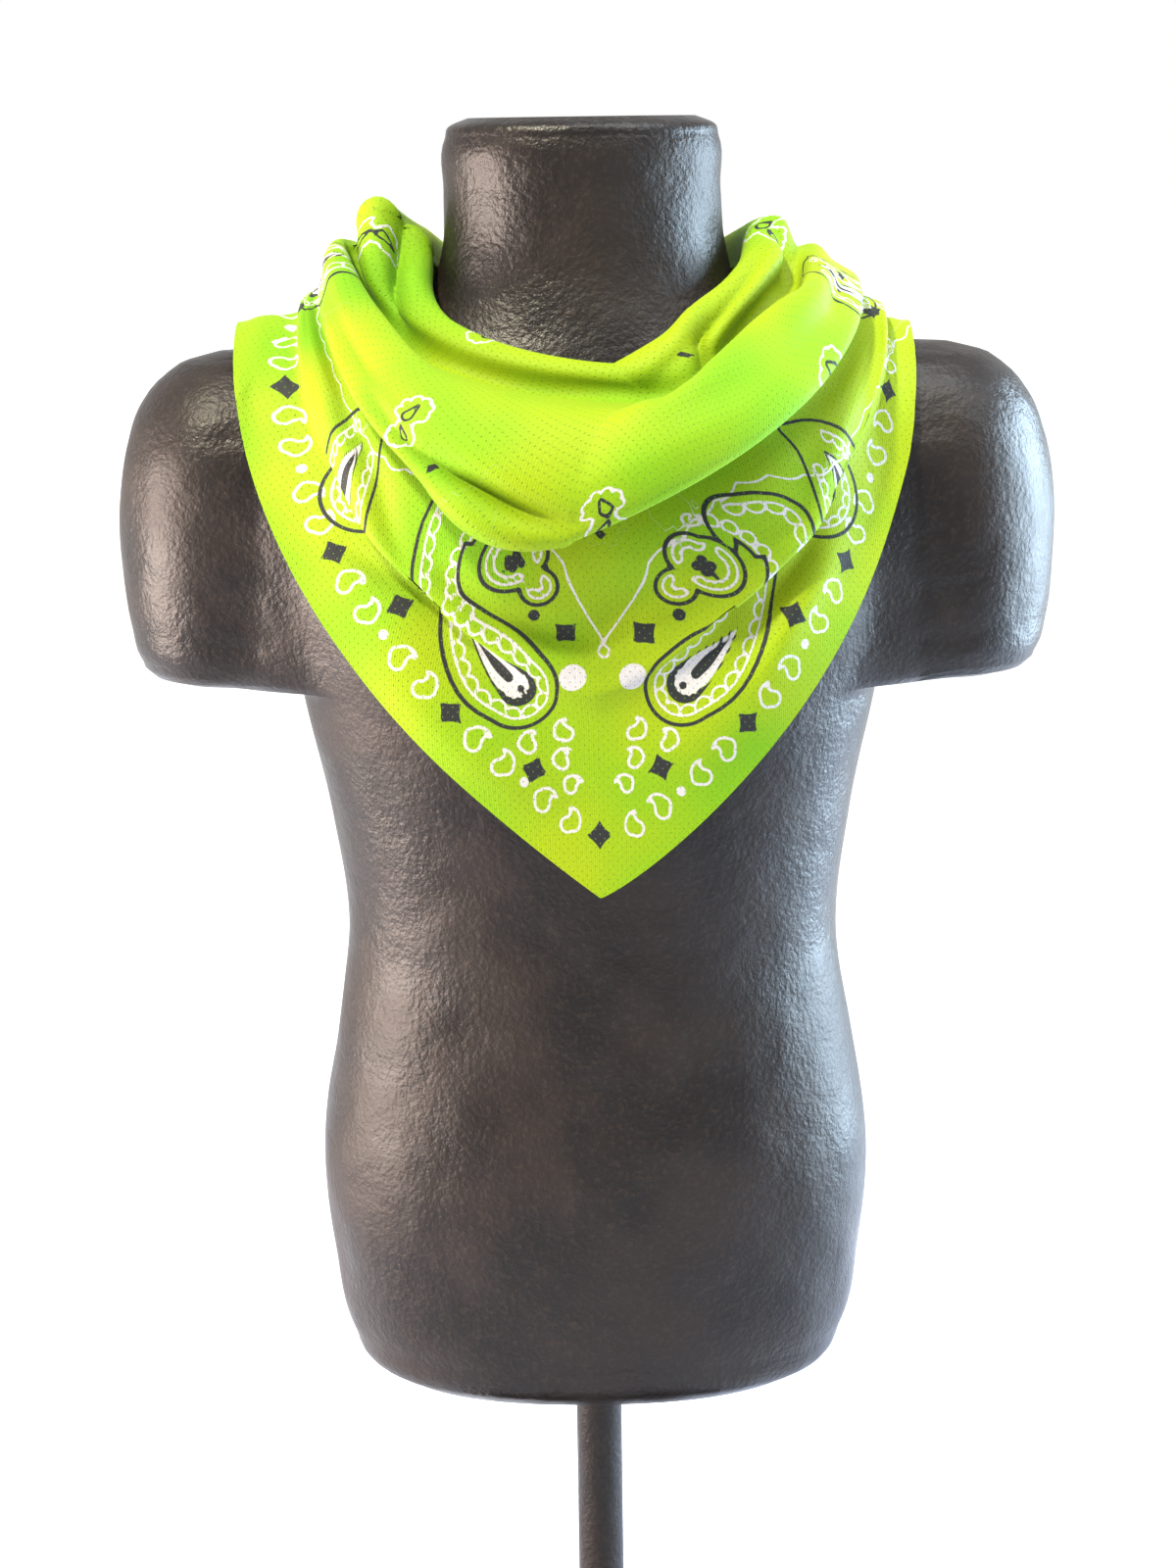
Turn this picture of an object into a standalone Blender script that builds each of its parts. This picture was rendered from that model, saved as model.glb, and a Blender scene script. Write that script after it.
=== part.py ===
"""A square bandana folded corner to corner and worn, point down, on a limbless torso form with a stand.

Metres, +Z up, -Y is the front. The origin is on the floor under the middle of the stand.
The cloth is a grid of sections. Each section runs down the cloth from its inner edge to its hem, through
the lines of CLOTH_LINES, which run round the neck from the middle in front to the knot at the nape.
"""

import math

import bmesh
import bpy
import numpy as np
from mathutils import Vector
from mathutils.bvhtree import BVHTree

# The cloth: its wall, the parting between its stretches, and how closely it may lie to the form
WALL = 0.0016
SEAM_GAP = 0.0003
BODY_CLEARANCE = 0.0035
LIFT_PASSES = 3
SECTIONS_FRONT = 49
SECTIONS_WRAP = 12
FRONT_SHARE = 0.62

# One row for each line that runs round the neck, from the cloth's inner edge to its hem. middle is where
# it crosses the front, off to one side. side, front and back are how far it stands from the neck's axis,
# skew is how much further that is on the right than half way, and the z columns are its heights there above
# the form's lower edge. Seen from the front a line is pointed in the middle where its dip is 1 and round
# where it is 2, and it turns up sooner the smaller its rise. plan squares it off as seen from above: 2 is an
# ellipse. lift raises it between the middle and the shoulder, sag lowers it between the shoulder and the
# nape, and points is how many points lead on to the next line.
LINE_COLUMNS = (
    "middle", "side", "skew", "front", "back", "side_z", "front_z", "back_z",
    "left_dip", "left_rise", "right_dip", "right_rise", "plan", "lift", "sag", "points",
)
CLOTH_LINES = {
    "inner_edge": (
        0.006, 0.081, 0, 0.083, 0.078, 0.591, 0.537, 0.567,
        1.6, 0.32, 1.10, 0.50, 2.0, 0, 0, 2,
    ),
    "crown": (
        0.014, 0.087, 0, 0.089, 0.083, 0.611, 0.547, 0.5765,
        1.4, 0.30, 0.98, 0.50, 2.0, 0, 0, 2,
    ),
    "crown_outside": (
        0.020, 0.104, 0, 0.098, 0.089, 0.616, 0.543, 0.579,
        1.5, 0.32, 1.05, 0.50, 2.0, 0, 0, 2,
    ),
    "collar_crease": (
        0.034, 0.1125, 0, 0.107, 0.094, 0.601, 0.531, 0.5775,
        1.7, 0.36, 1.20, 0.55, 2.0, 0, 0.001, 2,
    ),
    "belly": (
        0.012, 0.121, 0.001, 0.137, 0.0985, 0.602, 0.527, 0.5745,
        1.9, 0.50, 1.20, 0.55, 2.3, 0, 0.002, 3,
    ),
    "roll_front": (
        -0.004, 0.129, 0.003, 0.159, 0.1015, 0.5935, 0.499, 0.570,
        1.7, 0.57, 1.12, 0.57, 2.5, 0, 0.003, 3,
    ),
    "roll_lip": (
        -0.011, 0.1365, 0.008, 0.156, 0.103, 0.585, 0.470, 0.5655,
        1.6, 0.58, 1.05, 0.58, 2.7, 0, 0.004, 2,
    ),
    "roll_under": (
        -0.010, 0.1365, 0.007, 0.139, 0.1035, 0.5800, 0.486, 0.562,
        1.6, 0.58, 1.10, 0.58, 2.4, 0.012, 0.005, 2,
    ),
    "roll_tuck": (
        -0.008, 0.1385, 0.006, 0.130, 0.104, 0.5770, 0.481, 0.5595,
        1.5, 0.58, 1.15, 0.58, 2.3, 0.008, 0.006, 3,
    ),
    "second_crest": (
        0, 0.1440, 0.0075, 0.134, 0.1045, 0.5745, 0.450, 0.5555,
        1.6, 0.60, 1.40, 0.60, 2.7, 0.003, 0.007, 3,
    ),
    "second_lip": (
        0.003, 0.1482, 0.0090, 0.132, 0.1045, 0.5715, 0.397, 0.5505,
        1.5, 0.58, 1.30, 0.58, 3.3, -0.004, 0.008, 2,
    ),
    "second_under": (
        0.003, 0.1475, 0.0080, 0.130, 0.104, 0.5675, 0.389, 0.549,
        1.5, 0.58, 1.30, 0.58, 2.9, 0.020, 0.0085, 2,
    ),
    "second_tuck": (
        0.004, 0.1515, 0.0070, 0.128, 0.104, 0.5645, 0.379, 0.547,
        1.4, 0.58, 1.30, 0.58, 2.5, 0.023, 0.009, 3,
    ),
    "flap": (
        0.004, 0.1620, 0.001, 0.127, 0.103, 0.5632, 0.336, 0.543,
        1.1, 0.53, 1.25, 0.53, 2.8, 0.004, 0.010, 3,
    ),
    "hem": (
        0.004, 0.1725, 0, 0.126, 0.101, 0.560, 0.290, 0.5375,
        1.0, 0.515, 1.18, 0.515, 3.1, 0, 0.010, 0,
    ),
}
# The two sides differ a little: how far each reaches, and how much higher or lower it lies on its shoulder
LEFT_REACH = 1.03
RIGHT_REACH = 0.965
LEFT_RAISE = 0.004
RIGHT_RAISE = -0.002
# plan behind the neck, for the first line and the last
PLAN_BEHIND = (2.0, 1.45)
MIDDLE_FADE = 1.5
STEPS_BEFORE = 200
STEPS_BEHIND = 100

# Soft folds on top of those lines: each one's path, its half width and how far it stands out. A path's
# steps are a share of the way from the middle to the knot, left being negative, and a place down the cloth
# counted in points.
CLOTH_FOLDS = {
    "front_crease": (((-0.32, 5.8), (-0.17, 5.7), (-0.03, 5.2), (0.06, 6.2), (0.11, 7.6)), 0.007, -0.006),
    "right_neck_crease": (((0.00, 5.0), (0.10, 4.3), (0.22, 3.1), (0.33, 2.5)), 0.005, -0.0025),
    "right_inner_ridge": (((0.07, 7.4), (0.12, 5.0), (0.24, 3.8), (0.36, 3.2)), 0.006, 0.005),
    "right_trough": (((0.07, 7.9), (0.125, 6.4), (0.195, 5.5), (0.29, 5.1), (0.40, 5.0)), 0.008, -0.010),
    "right_roll_ridge": (
        ((0.02, 8.8), (0.147, 7.9), (0.235, 7.3), (0.345, 8.2), (0.46, 9.9), (0.56, 11.2)),
        0.009, 0.007,
    ),
    "right_collar_crease": (((0.54, 3.0), (0.48, 4.4), (0.41, 6.0), (0.34, 7.6)), 0.006, -0.006),
    "right_dimple": (((0.43, 10.7), (0.48, 10.8), (0.55, 11.8)), 0.006, -0.005),
    "right_valley": (((0.53, 19.5), (0.40, 19.5), (0.26, 19.8)), 0.012, -0.004),
    "left_inner_edge": (((-0.66, 0.4), (-0.52, 0.7), (-0.36, 0.9)), 0.012, 0.009),
    "left_pleat": (((-0.70, 1.8), (-0.55, 2.1), (-0.468, 2.8), (-0.38, 4.4)), 0.0045, -0.006),
    "left_collar_ridge": (((-0.66, 3.6), (-0.54, 3.9), (-0.44, 4.6)), 0.008, 0.006),
    "left_roll_edge": (((-0.60, 8.2), (-0.50, 7.5), (-0.42, 7.3), (-0.34, 7.6), (-0.24, 8.2)), 0.010, 0.008),
    "left_collar_trough": (((-0.62, 6.0), (-0.50, 5.7), (-0.40, 5.6), (-0.31, 5.9)), 0.010, -0.010),
    "pucker_hollow": (
        ((-0.19, 11.9), (-0.125, 12.2), (-0.08, 12.5), (-0.02, 12.8), (0.02, 12.9)),
        0.007, -0.007,
    ),
    "pucker_lip": (((-0.19, 13.7), (-0.11, 13.9), (-0.05, 14.0), (0.02, 13.7)), 0.007, 0.005),
    "left_roll_dent": (((-0.46, 10.6), (-0.36, 10.4), (-0.26, 9.6)), 0.016, -0.005),
    "chest_dent": (((-0.10, 22.5), (0.02, 22.0), (0.13, 22.5)), 0.022, -0.004),
    "left_flap_swell": (((-0.32, 31.0), (-0.20, 31.4), (-0.08, 31.0)), 0.022, 0.004),
    "right_flap_swell": (((0.10, 31.0), (0.22, 31.4), (0.36, 31.0)), 0.022, 0.005),
    "left_wrap_fold": (((-0.95, 21.0), (-0.80, 19.0), (-0.64, 16.0)), 0.009, -0.003),
    "right_wrap_fold": (((0.64, 18.0), (0.80, 16.0), (0.95, 14.0)), 0.009, -0.003),
}
FOLD_STEPS = 24
FOLD_FADE = 0.7
LAYER_POINTS = 3.5

# The knot at the nape: its barrel lies along X, and its ridges turn round it on the slant
KNOT_MIDDLE = (0.0, 0.0985, 0.5600)
KNOT_WIDTH = 0.044
KNOT_DEPTH = 0.034
KNOT_HEIGHT = 0.042
KNOT_RIDGES = 4
KNOT_RIDGE_SHARE = 0.10
KNOT_TWIST = 1.9
KNOT_CUT = 0.05
KNOT_FULLNESS = 0.42
KNOT_RINGS = 17
KNOT_SIDES = 32
# Where the cloth starts to draw in towards the knot, the share of its depth that is left there, and the
# pleats that this puts in it
GATHER_FROM = 0.72
GATHERED_TO = 0.55
PLEATS = 3
PLEAT_DEPTH = 0.0036
PLEAT_FADE = 1.1

# The two corners that hang from the knot. curl bends one across its width, and ripple waves its length.
TAIL_COLUMNS = ("start", "end", "start_width", "full_width", "fullest_at", "curl", "ripple")
TAILS = {
    "left_tail": ((-0.0095, 0.1015, 0.5375), (-0.043, 0.1165, 0.4540), 0.014, 0.036, 0.42, 0.30, 0.003),
    "right_tail": ((0.0095, 0.1045, 0.5375), (0.031, 0.1195, 0.4450), 0.014, 0.036, 0.40, -0.35, -0.003),
}
TAIL_SECTIONS = 15
TAIL_POINTS = 7
TAIL_TIP = 0.002
TAIL_FLARE = 0.7
TAIL_CORNER = 6

# The torso form, one row for each level up from its lower edge. front and back are its depths either side
# of its axis, and squareness is a superellipse's power.
TORSO_COLUMNS = ("half_width", "front", "back", "squareness")
TORSO_LEVELS = {
    0.000: (0.112, 0.072, 0.082, 2.3),
    0.007: (0.124, 0.082, 0.092, 2.3),
    0.025: (0.134, 0.090, 0.100, 2.3),
    0.070: (0.143, 0.098, 0.109, 2.3),
    0.125: (0.147, 0.102, 0.112, 2.3),
    0.190: (0.138, 0.098, 0.098, 2.3),
    0.250: (0.130, 0.096, 0.088, 2.3),
    0.310: (0.137, 0.102, 0.090, 2.3),
    0.370: (0.149, 0.113, 0.099, 2.3),
    0.420: (0.158, 0.121, 0.106, 2.4),
    0.465: (0.165, 0.116, 0.108, 2.4),
    0.500: (0.168, 0.101, 0.103, 2.3),
    0.524: (0.158, 0.086, 0.094, 2.2),
    0.541: (0.134, 0.077, 0.084, 2.1),
    0.557: (0.104, 0.070, 0.076, 2.0),
    0.576: (0.082, 0.063, 0.070, 2.0),
    0.600: (0.073, 0.058, 0.067, 2.0),
    0.630: (0.071, 0.057, 0.065, 2.0),
    0.656: (0.070, 0.056, 0.064, 2.0),
    0.663: (0.066, 0.052, 0.060, 2.0),
    0.666: (0.058, 0.045, 0.052, 2.0),
}

# The shoulder stumps on the same levels: middle is how far each level's centre is from the form's axis
STUMP_COLUMNS = ("middle", "half_width", "half_depth")
STUMP_LEVELS = {
    0.381: (0.186, 0.030, 0.034),
    0.384: (0.186, 0.041, 0.045),
    0.392: (0.186, 0.048, 0.053),
    0.410: (0.187, 0.052, 0.058),
    0.440: (0.187, 0.055, 0.063),
    0.475: (0.186, 0.056, 0.065),
    0.505: (0.183, 0.054, 0.062),
    0.525: (0.179, 0.050, 0.053),
    0.539: (0.174, 0.043, 0.041),
    0.547: (0.168, 0.036, 0.028),
    0.551: (0.160, 0.028, 0.015),
}
BODY_SIDES = 48
SIDE_CROWDING = 0.55
LARGEST_RING_GAP = 0.024
# How sharply a stump meets the torso, and how fast it fades where it misses
JOIN_POWER = 18
MISS_FADE = 0.5

# The stand
STAND_HEIGHT = 0.270
BASE_RADIUS = 0.165
BASE_HEIGHT = 0.016
BASE_BEVEL = 0.003
POLE_RADIUS = 0.0125

CLOTH_EDGE = math.radians(60)
STAND_EDGE = math.radians(40)
LIME = (0.42, 0.86, 0.02, 1.0)
BRONZE = (0.045, 0.036, 0.032, 1.0)


def material(name, colour, roughness, metallic):
    made = bpy.data.materials.new(name)
    made.use_nodes = True
    shader = made.node_tree.nodes["Principled BSDF"]
    shader.inputs["Base Color"].default_value = colour
    shader.inputs["Roughness"].default_value = roughness
    shader.inputs["Metallic"].default_value = metallic
    made.diffuse_color = colour
    return made


def adopt(made, finish, collection):
    """Gives an object its finish and moves it to the collection."""
    made.data.materials.append(finish)
    for user in made.users_collection:
        user.objects.unlink(made)
    collection.objects.link(made)


def spline(rows, places, steps):
    """Points at each of steps along the smooth curve through rows, which stand at rising places."""
    rows, places, steps = (np.asarray(given, float) for given in (rows, places, steps))
    gaps = np.diff(places).reshape((-1,) + (1,) * (rows.ndim - 1))
    slopes = np.diff(rows, axis=0) / gaps
    inside = (slopes[:-1] * gaps[1:] + slopes[1:] * gaps[:-1]) / (gaps[:-1] + gaps[1:])
    tangents = np.concatenate([slopes[:1], inside, slopes[-1:]])
    at = np.clip(np.searchsorted(places, steps, side="right") - 1, 0, len(rows) - 2)
    gap = gaps[at]
    t = (steps - places[at]).reshape(gap.shape) / gap
    lead = rows[at] * (1 + 2 * t) * (1 - t) ** 2 + tangents[at] * gap * t * (1 - t) ** 2
    return lead + rows[at + 1] * t**2 * (3 - 2 * t) - tangents[at + 1] * gap * t**2 * (1 - t)


def loft(name, rings, finish, collection):
    """A mesh over a row of rings, each a closed loop of as many points, with flat ends."""
    sides = len(rings[0])
    mesh = bpy.data.meshes.new(name)
    build = bmesh.new()
    loops = [[build.verts.new(point) for point in ring] for ring in rings]
    for low, high in zip(loops, loops[1:]):
        for k in range(sides):
            build.faces.new((low[k], low[(k + 1) % sides], high[(k + 1) % sides], high[k]))
    build.faces.new(loops[0][::-1])
    build.faces.new(loops[-1])
    build.normal_update()
    build.to_mesh(mesh)
    build.free()
    mesh.shade_smooth()
    made = bpy.data.objects.new(name, mesh)
    made.data.materials.append(finish)
    collection.objects.link(made)
    return made


def table_row(levels, columns, height):
    """The values of a table of levels at a height, by column."""
    row = spline(list(levels.values()), list(levels), [height])[0]
    return dict(zip(columns, row))


def ring_heights():
    """The levels of both tables, and evenly spaced ones in the larger gaps between them."""
    levels = sorted(set(TORSO_LEVELS) | set(STUMP_LEVELS))
    heights = [levels[0]]
    for low, high in zip(levels, levels[1:]):
        count = math.ceil((high - low) / LARGEST_RING_GAP)
        heights.extend(np.linspace(low, high, count + 1)[1:])
    return heights


def body_ring(height):
    """A ring of the torso and its stumps, as distances from the axis along rays.

    The torso's is a superellipse's. A stump's is that of the far side of its ellipse, or where a ray misses
    it a value that fades with the miss. The two join by a power mean.
    """
    even = np.linspace(0, 2 * math.pi, BODY_SIDES, endpoint=False)
    angles = even - SIDE_CROWDING / 2 * np.sin(2 * even)
    across, deep = np.cos(angles), np.sin(angles)
    torso = table_row(TORSO_LEVELS, TORSO_COLUMNS, height)
    power = torso["squareness"]
    depth = np.where(deep < 0, torso["front"], torso["back"])
    reach = (np.abs(across / torso["half_width"]) ** power + np.abs(deep / depth) ** power) ** (-1 / power)
    if min(STUMP_LEVELS) <= height <= max(STUMP_LEVELS):
        stump = table_row(STUMP_LEVELS, STUMP_COLUMNS, height)
        squares = (across / stump["half_width"]) ** 2 + (deep / stump["half_depth"]) ** 2
        nearest = stump["middle"] * np.abs(across) / stump["half_width"] ** 2 / squares
        past = nearest**2 - ((stump["middle"] / stump["half_width"]) ** 2 - 1) / squares
        far = (nearest + np.sqrt(past.clip(0))) * np.exp(past.clip(max=0) / stump["middle"] ** 2 / MISS_FADE)
        reach = (reach**JOIN_POWER + far**JOIN_POWER) ** (1 / JOIN_POWER)
    return np.stack([reach * across, reach * deep, np.full(BODY_SIDES, STAND_HEIGHT + height)], axis=1)


def half_line(row, plan_behind, side):
    """Points of one line of the cloth from the middle in front to the knot, on the left (-1) or right (1).

    Seen from the front its first part climbs from the front's height to the side's by
    1 - (1 - across^dip)^rise, and seen from above it is a superellipse. Behind the neck it is a flatter one
    and goes on to the back's height.
    """
    reach = (row["side"] + side * row["skew"]) * (LEFT_REACH if side < 0 else RIGHT_REACH)
    side_z = row["side_z"] + (LEFT_RAISE if side < 0 else RIGHT_RAISE)
    dip = row["left_dip"] if side < 0 else row["right_dip"]
    rise = row["left_rise"] if side < 0 else row["right_rise"]
    across = 1 - (1 - np.linspace(0, 1, STEPS_BEFORE)) ** 2
    x = side * reach * across + row["middle"] * (1 - across) ** MIDDLE_FADE
    y = -row["front"] * (1 - across ** row["plan"]) ** (1 / row["plan"])
    z = row["front_z"] + (side_z - row["front_z"]) * (1 - (1 - across**dip) ** rise)
    z += row["lift"] * (6.75 * across**2 * (1 - across)) ** 2
    front = np.stack([x, y, z], axis=1)
    knot_side = KNOT_WIDTH / 2 + SEAM_GAP
    last_turn = math.acos((knot_side / reach) ** (plan_behind / 2))
    turn = np.linspace(0, last_turn, STEPS_BEHIND)[1:]
    x = side * reach * np.cos(turn) ** (2 / plan_behind)
    y = row["back"] * np.sin(turn) ** (2 / plan_behind)
    z = side_z + (row["back_z"] - side_z) * np.sin(turn) ** 2 - row["sag"] * np.sin(2 * turn) ** 2
    return np.concatenate([front, np.stack([x, y, z], axis=1)]) + (0, 0, STAND_HEIGHT)


def along(points, shares):
    """Points at those shares of a line's length."""
    steps = np.linalg.norm(np.diff(points, axis=0), axis=1)
    run = np.concatenate([[0], np.cumsum(steps)])
    return np.stack([np.interp(shares * run[-1], run, points[:, k]) for k in range(3)], axis=1)


def line_places():
    """The place of each line down a section, counted in points."""
    points = [sizes[LINE_COLUMNS.index("points")] for sizes in CLOTH_LINES.values()]
    return np.concatenate([[0], np.cumsum(points[:-1])])


def cloth_points(shares, places_down):
    """Points of the smooth cloth, a row for each share of the way round: 0 in front, 1 or -1 at the knot."""
    shares = np.asarray(shares, float)
    lines = []
    plans_behind = np.linspace(*PLAN_BEHIND, len(CLOTH_LINES))
    for plan_behind, sizes in zip(plans_behind, CLOTH_LINES.values()):
        row = dict(zip(LINE_COLUMNS, sizes))
        left = along(half_line(row, plan_behind, -1), np.abs(shares))
        right = along(half_line(row, plan_behind, 1), np.abs(shares))
        lines.append(np.where(shares[:, None] < 0, left, right))
    grid = spline(np.stack(lines), line_places(), places_down).transpose(1, 0, 2)
    return gathered(grid, np.abs(shares), places_down)


def gathered(grid, way, places_down):
    """The grid drawn in towards the knot's middle near it, with pleats that run out from the knot."""
    near = ((way - GATHER_FROM) / (1 - GATHER_FROM)).clip(0, 1)
    near = (near**2 * (3 - 2 * near))[:, None]
    middle = np.array(KNOT_MIDDLE) + (0, 0, STAND_HEIGHT)
    drawn = grid + (middle - grid) * (0, 1, 1) * ((1 - GATHERED_TO) * near)[..., None]
    waves = np.sin(2 * math.pi * PLEATS * places_down / line_places()[-1])
    depth = waves * PLEAT_DEPTH * near * (PLEAT_FADE - near)
    return drawn + outward(drawn) * (0, 1, 1) * depth[..., None]


def beside(grid, axis):
    """A grid with its values one place back and one place on along an axis, its ends repeated."""
    ends = [(1, 1) if k == axis else (0, 0) for k in range(grid.ndim)]
    padded = np.pad(grid, ends, mode="edge")
    count = grid.shape[axis]
    return padded.take(range(count), axis), padded.take(range(2, count + 2), axis)


def unit(vectors):
    return vectors / np.linalg.norm(vectors, axis=-1, keepdims=True).clip(1e-9)


def outward(grid):
    """Unit normals of a grid of points, on the side away from the neck, which also hold at sharp folds.

    The way round is the step between a point's neighbours. The way down is the sum of the unit steps to the
    point and from it, each square to the way round.
    """
    back, on = beside(grid, 0)
    round_way = unit(on - back)
    back, on = beside(grid, 1)
    steps = (grid - back, on - grid)
    down_way = sum(unit(step - (step * round_way).sum(axis=-1, keepdims=True) * round_way) for step in steps)
    return unit(np.cross(down_way, round_way))


def folded(grid, places_down):
    """The grid with its soft folds: each moves the points near its path out, or in, by a bell curve."""
    moved = np.zeros(grid.shape[:2])
    for corners, width, height in CLOTH_FOLDS.values():
        steps = np.linspace(0, len(corners) - 1, FOLD_STEPS)
        path_share, path_place = spline(corners, np.arange(len(corners)), steps).T
        path = cloth_points(path_share, path_place)[range(FOLD_STEPS), range(FOLD_STEPS)]
        strength = np.sin(np.linspace(0, math.pi, FOLD_STEPS + 2)[1:-1]) ** FOLD_FADE
        apart = np.linalg.norm(grid[:, :, None, :] - path, axis=3)
        same_layer = np.exp(-(((places_down[None, :, None] - path_place) / LAYER_POINTS) ** 4))
        bell = strength * np.exp(-((apart / width) ** 2)) * same_layer
        moved += height * bell.max(axis=2)
    return grid + outward(grid) * moved[:, :, None]


def lifted(grid, body):
    """The grid with the points too near the body moved out to the clearance, and softly beside them."""
    found = [body.find_nearest(Vector(point))[:2] for point in grid.reshape(-1, 3)]
    near, facing = np.array(found).transpose(1, 0, 2).reshape((2,) + grid.shape)
    lift = (BODY_CLEARANCE - ((grid - near) * facing).sum(axis=2)).clip(0)
    for _ in range(LIFT_PASSES):
        for axis in (0, 1):
            lift = np.maximum(lift, sum(beside(lift, axis)) / 2)
    return grid + facing * lift[..., None]


def wall(name, inner, outer, finish, collection):
    """A closed cloth wall between two grids of points, whose rows run round and whose columns run down.

    Its faces are triangles, split alike on both sides. Those of its rim all start at their earlier inner
    corner, so that those of two walls at a seam split alike too.
    """
    count, down, _ = inner.shape
    corner = np.arange(count * down).reshape(count, down)
    a, b, c, d = corner[:-1, :-1], corner[:-1, 1:], corner[1:, 1:], corner[1:, :-1]
    side_faces = np.stack([a, b, c, a, c, d], axis=-1).reshape(-1, 3)
    rim = np.concatenate([corner[:, 0], corner[-1, 1:], corner[-2::-1, -1], corner[0, -2:0:-1]])
    on = np.roll(rim, -1)
    forward = np.stack([rim, rim + count * down, on + count * down, on], axis=-1)
    rim_faces = np.where((rim < on)[:, None], forward, np.roll(forward, 1, axis=1))
    rim_faces = rim_faces[:, [0, 1, 2, 0, 2, 3]].reshape(-1, 3)
    points = np.concatenate([inner.reshape(-1, 3), outer.reshape(-1, 3)])
    faces = np.concatenate([side_faces + count * down, side_faces[:, ::-1], rim_faces])
    mesh = bpy.data.meshes.new(name)
    mesh.from_pydata(points.tolist(), [], faces.tolist())
    mesh.shade_smooth()
    mesh.set_sharp_from_angle(angle=CLOTH_EDGE)
    made = bpy.data.objects.new(name, mesh)
    made.data.materials.append(finish)
    collection.objects.link(made)
    return made


def parted(inner, outer):
    """Both grids with their first row moved on by the gap at a seam, square to the seam."""
    step = inner[1] - inner[0]
    down = np.gradient(inner[0], axis=0)
    down /= np.linalg.norm(down, axis=1, keepdims=True)
    square = step - (step * down).sum(axis=1, keepdims=True) * down
    shift = SEAM_GAP * square / np.linalg.norm(square, axis=1, keepdims=True)
    return tuple(np.concatenate([(grid[0] + shift)[None], grid[1:]]) for grid in (inner, outer))


def make_bandana(body, finish, collection):
    """The cloth round the neck in its three stretches, cut from one grid so that their edges match."""
    front = np.linspace(-FRONT_SHARE, FRONT_SHARE, SECTIONS_FRONT)
    side = np.linspace(FRONT_SHARE, 1, SECTIONS_WRAP)
    shares = np.concatenate([-side[:0:-1], front, side[1:]])
    places_down = np.arange(line_places()[-1] + 1)
    inner = lifted(folded(cloth_points(shares, places_down), places_down), body)
    outer = inner + outward(inner) * WALL
    last = SECTIONS_WRAP - 1
    wall("bandana_front", inner[last:-last], outer[last:-last], finish, collection)
    right_inner, right_outer = parted(inner[-SECTIONS_WRAP:], outer[-SECTIONS_WRAP:])
    wall("bandana_right_wrap", right_inner, right_outer, finish, collection)
    left_inner, left_outer = parted(inner[:SECTIONS_WRAP][::-1], outer[:SECTIONS_WRAP][::-1])
    wall("bandana_left_wrap", left_inner[::-1], left_outer[::-1], finish, collection)


def make_knot(finish, collection):
    """A barrel of crossed cloth whose ridges slant round it."""
    angles = np.linspace(0, 2 * math.pi, KNOT_SIDES, endpoint=False)
    rings = []
    for way in np.linspace(0.0, 1.0, KNOT_RINGS):
        full = math.sin(math.pi * (KNOT_CUT + (1 - 2 * KNOT_CUT) * way)) ** KNOT_FULLNESS
        ridge = 1 + KNOT_RIDGE_SHARE * np.cos(KNOT_RIDGES * (angles - KNOT_TWIST * (way - 0.5)))
        x = np.full(KNOT_SIDES, (way - 0.5) * KNOT_WIDTH)
        y = KNOT_DEPTH / 2 * full * ridge * np.cos(angles)
        z = KNOT_HEIGHT / 2 * full * ridge * np.sin(angles)
        rings.append(np.stack([x, y, z], axis=1) + KNOT_MIDDLE + (0, 0, STAND_HEIGHT))
    loft("knot", rings, finish, collection)


def make_tail(name, sizes, body, finish, collection):
    """One free corner: a strip that widens below the knot and runs to its point, curled and rippled."""
    row = dict(zip(TAIL_COLUMNS, sizes))
    t = np.linspace(0, 1, TAIL_SECTIONS)[:, None]
    start, end = (np.array(row[key]) + (0, 0, STAND_HEIGHT) for key in ("start", "end"))
    flare = (t / row["fullest_at"]).clip(1e-3) ** TAIL_FLARE
    taper = ((1 - t) / (1 - row["fullest_at"])).clip(1e-3)
    lesser = (flare**-TAIL_CORNER + taper**-TAIL_CORNER) ** (-1 / TAIL_CORNER)
    width = row["start_width"] * (1 - t) + row["full_width"] * lesser + TAIL_TIP
    across = np.linspace(-0.5, 0.5, TAIL_POINTS)
    fall = (end - start) / np.linalg.norm(end - start)
    sideways = np.cross(fall, (0, -1, 0))
    grid = (start + (end - start) * t)[:, None] + (width * across)[..., None] * sideways
    grid[..., 1] += row["curl"] * width * across**2 + row["ripple"] * np.sin(2 * math.pi * t) * (1 + across)
    middle = lifted(grid, body)
    half_wall = outward(grid) * WALL / 2
    wall(name, middle - half_wall, middle + half_wall, finish, collection)


def make_stand(finish, collection):
    bpy.ops.mesh.primitive_cylinder_add(vertices=48, radius=BASE_RADIUS, depth=BASE_HEIGHT,
                                        location=(0, 0, BASE_HEIGHT / 2))
    base = bpy.context.object
    base.name = "stand_base"
    edge = base.modifiers.new("edge", "BEVEL")
    edge.width = BASE_BEVEL
    edge.segments = 2
    edge.limit_method = "ANGLE"
    pole_bottom = BASE_HEIGHT + SEAM_GAP
    pole_height = STAND_HEIGHT - SEAM_GAP - pole_bottom
    bpy.ops.mesh.primitive_cylinder_add(vertices=24, radius=POLE_RADIUS, depth=pole_height,
                                        location=(0, 0, pole_bottom + pole_height / 2))
    pole = bpy.context.object
    pole.name = "stand_pole"
    for made in (base, pole):
        made.data.shade_smooth()
        made.data.set_sharp_from_angle(angle=STAND_EDGE)
        adopt(made, finish, collection)


def body_tree(torso):
    """A search tree over the torso's faces."""
    mesh = torso.data
    return BVHTree.FromPolygons([v.co for v in mesh.vertices], [p.vertices for p in mesh.polygons])


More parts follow.
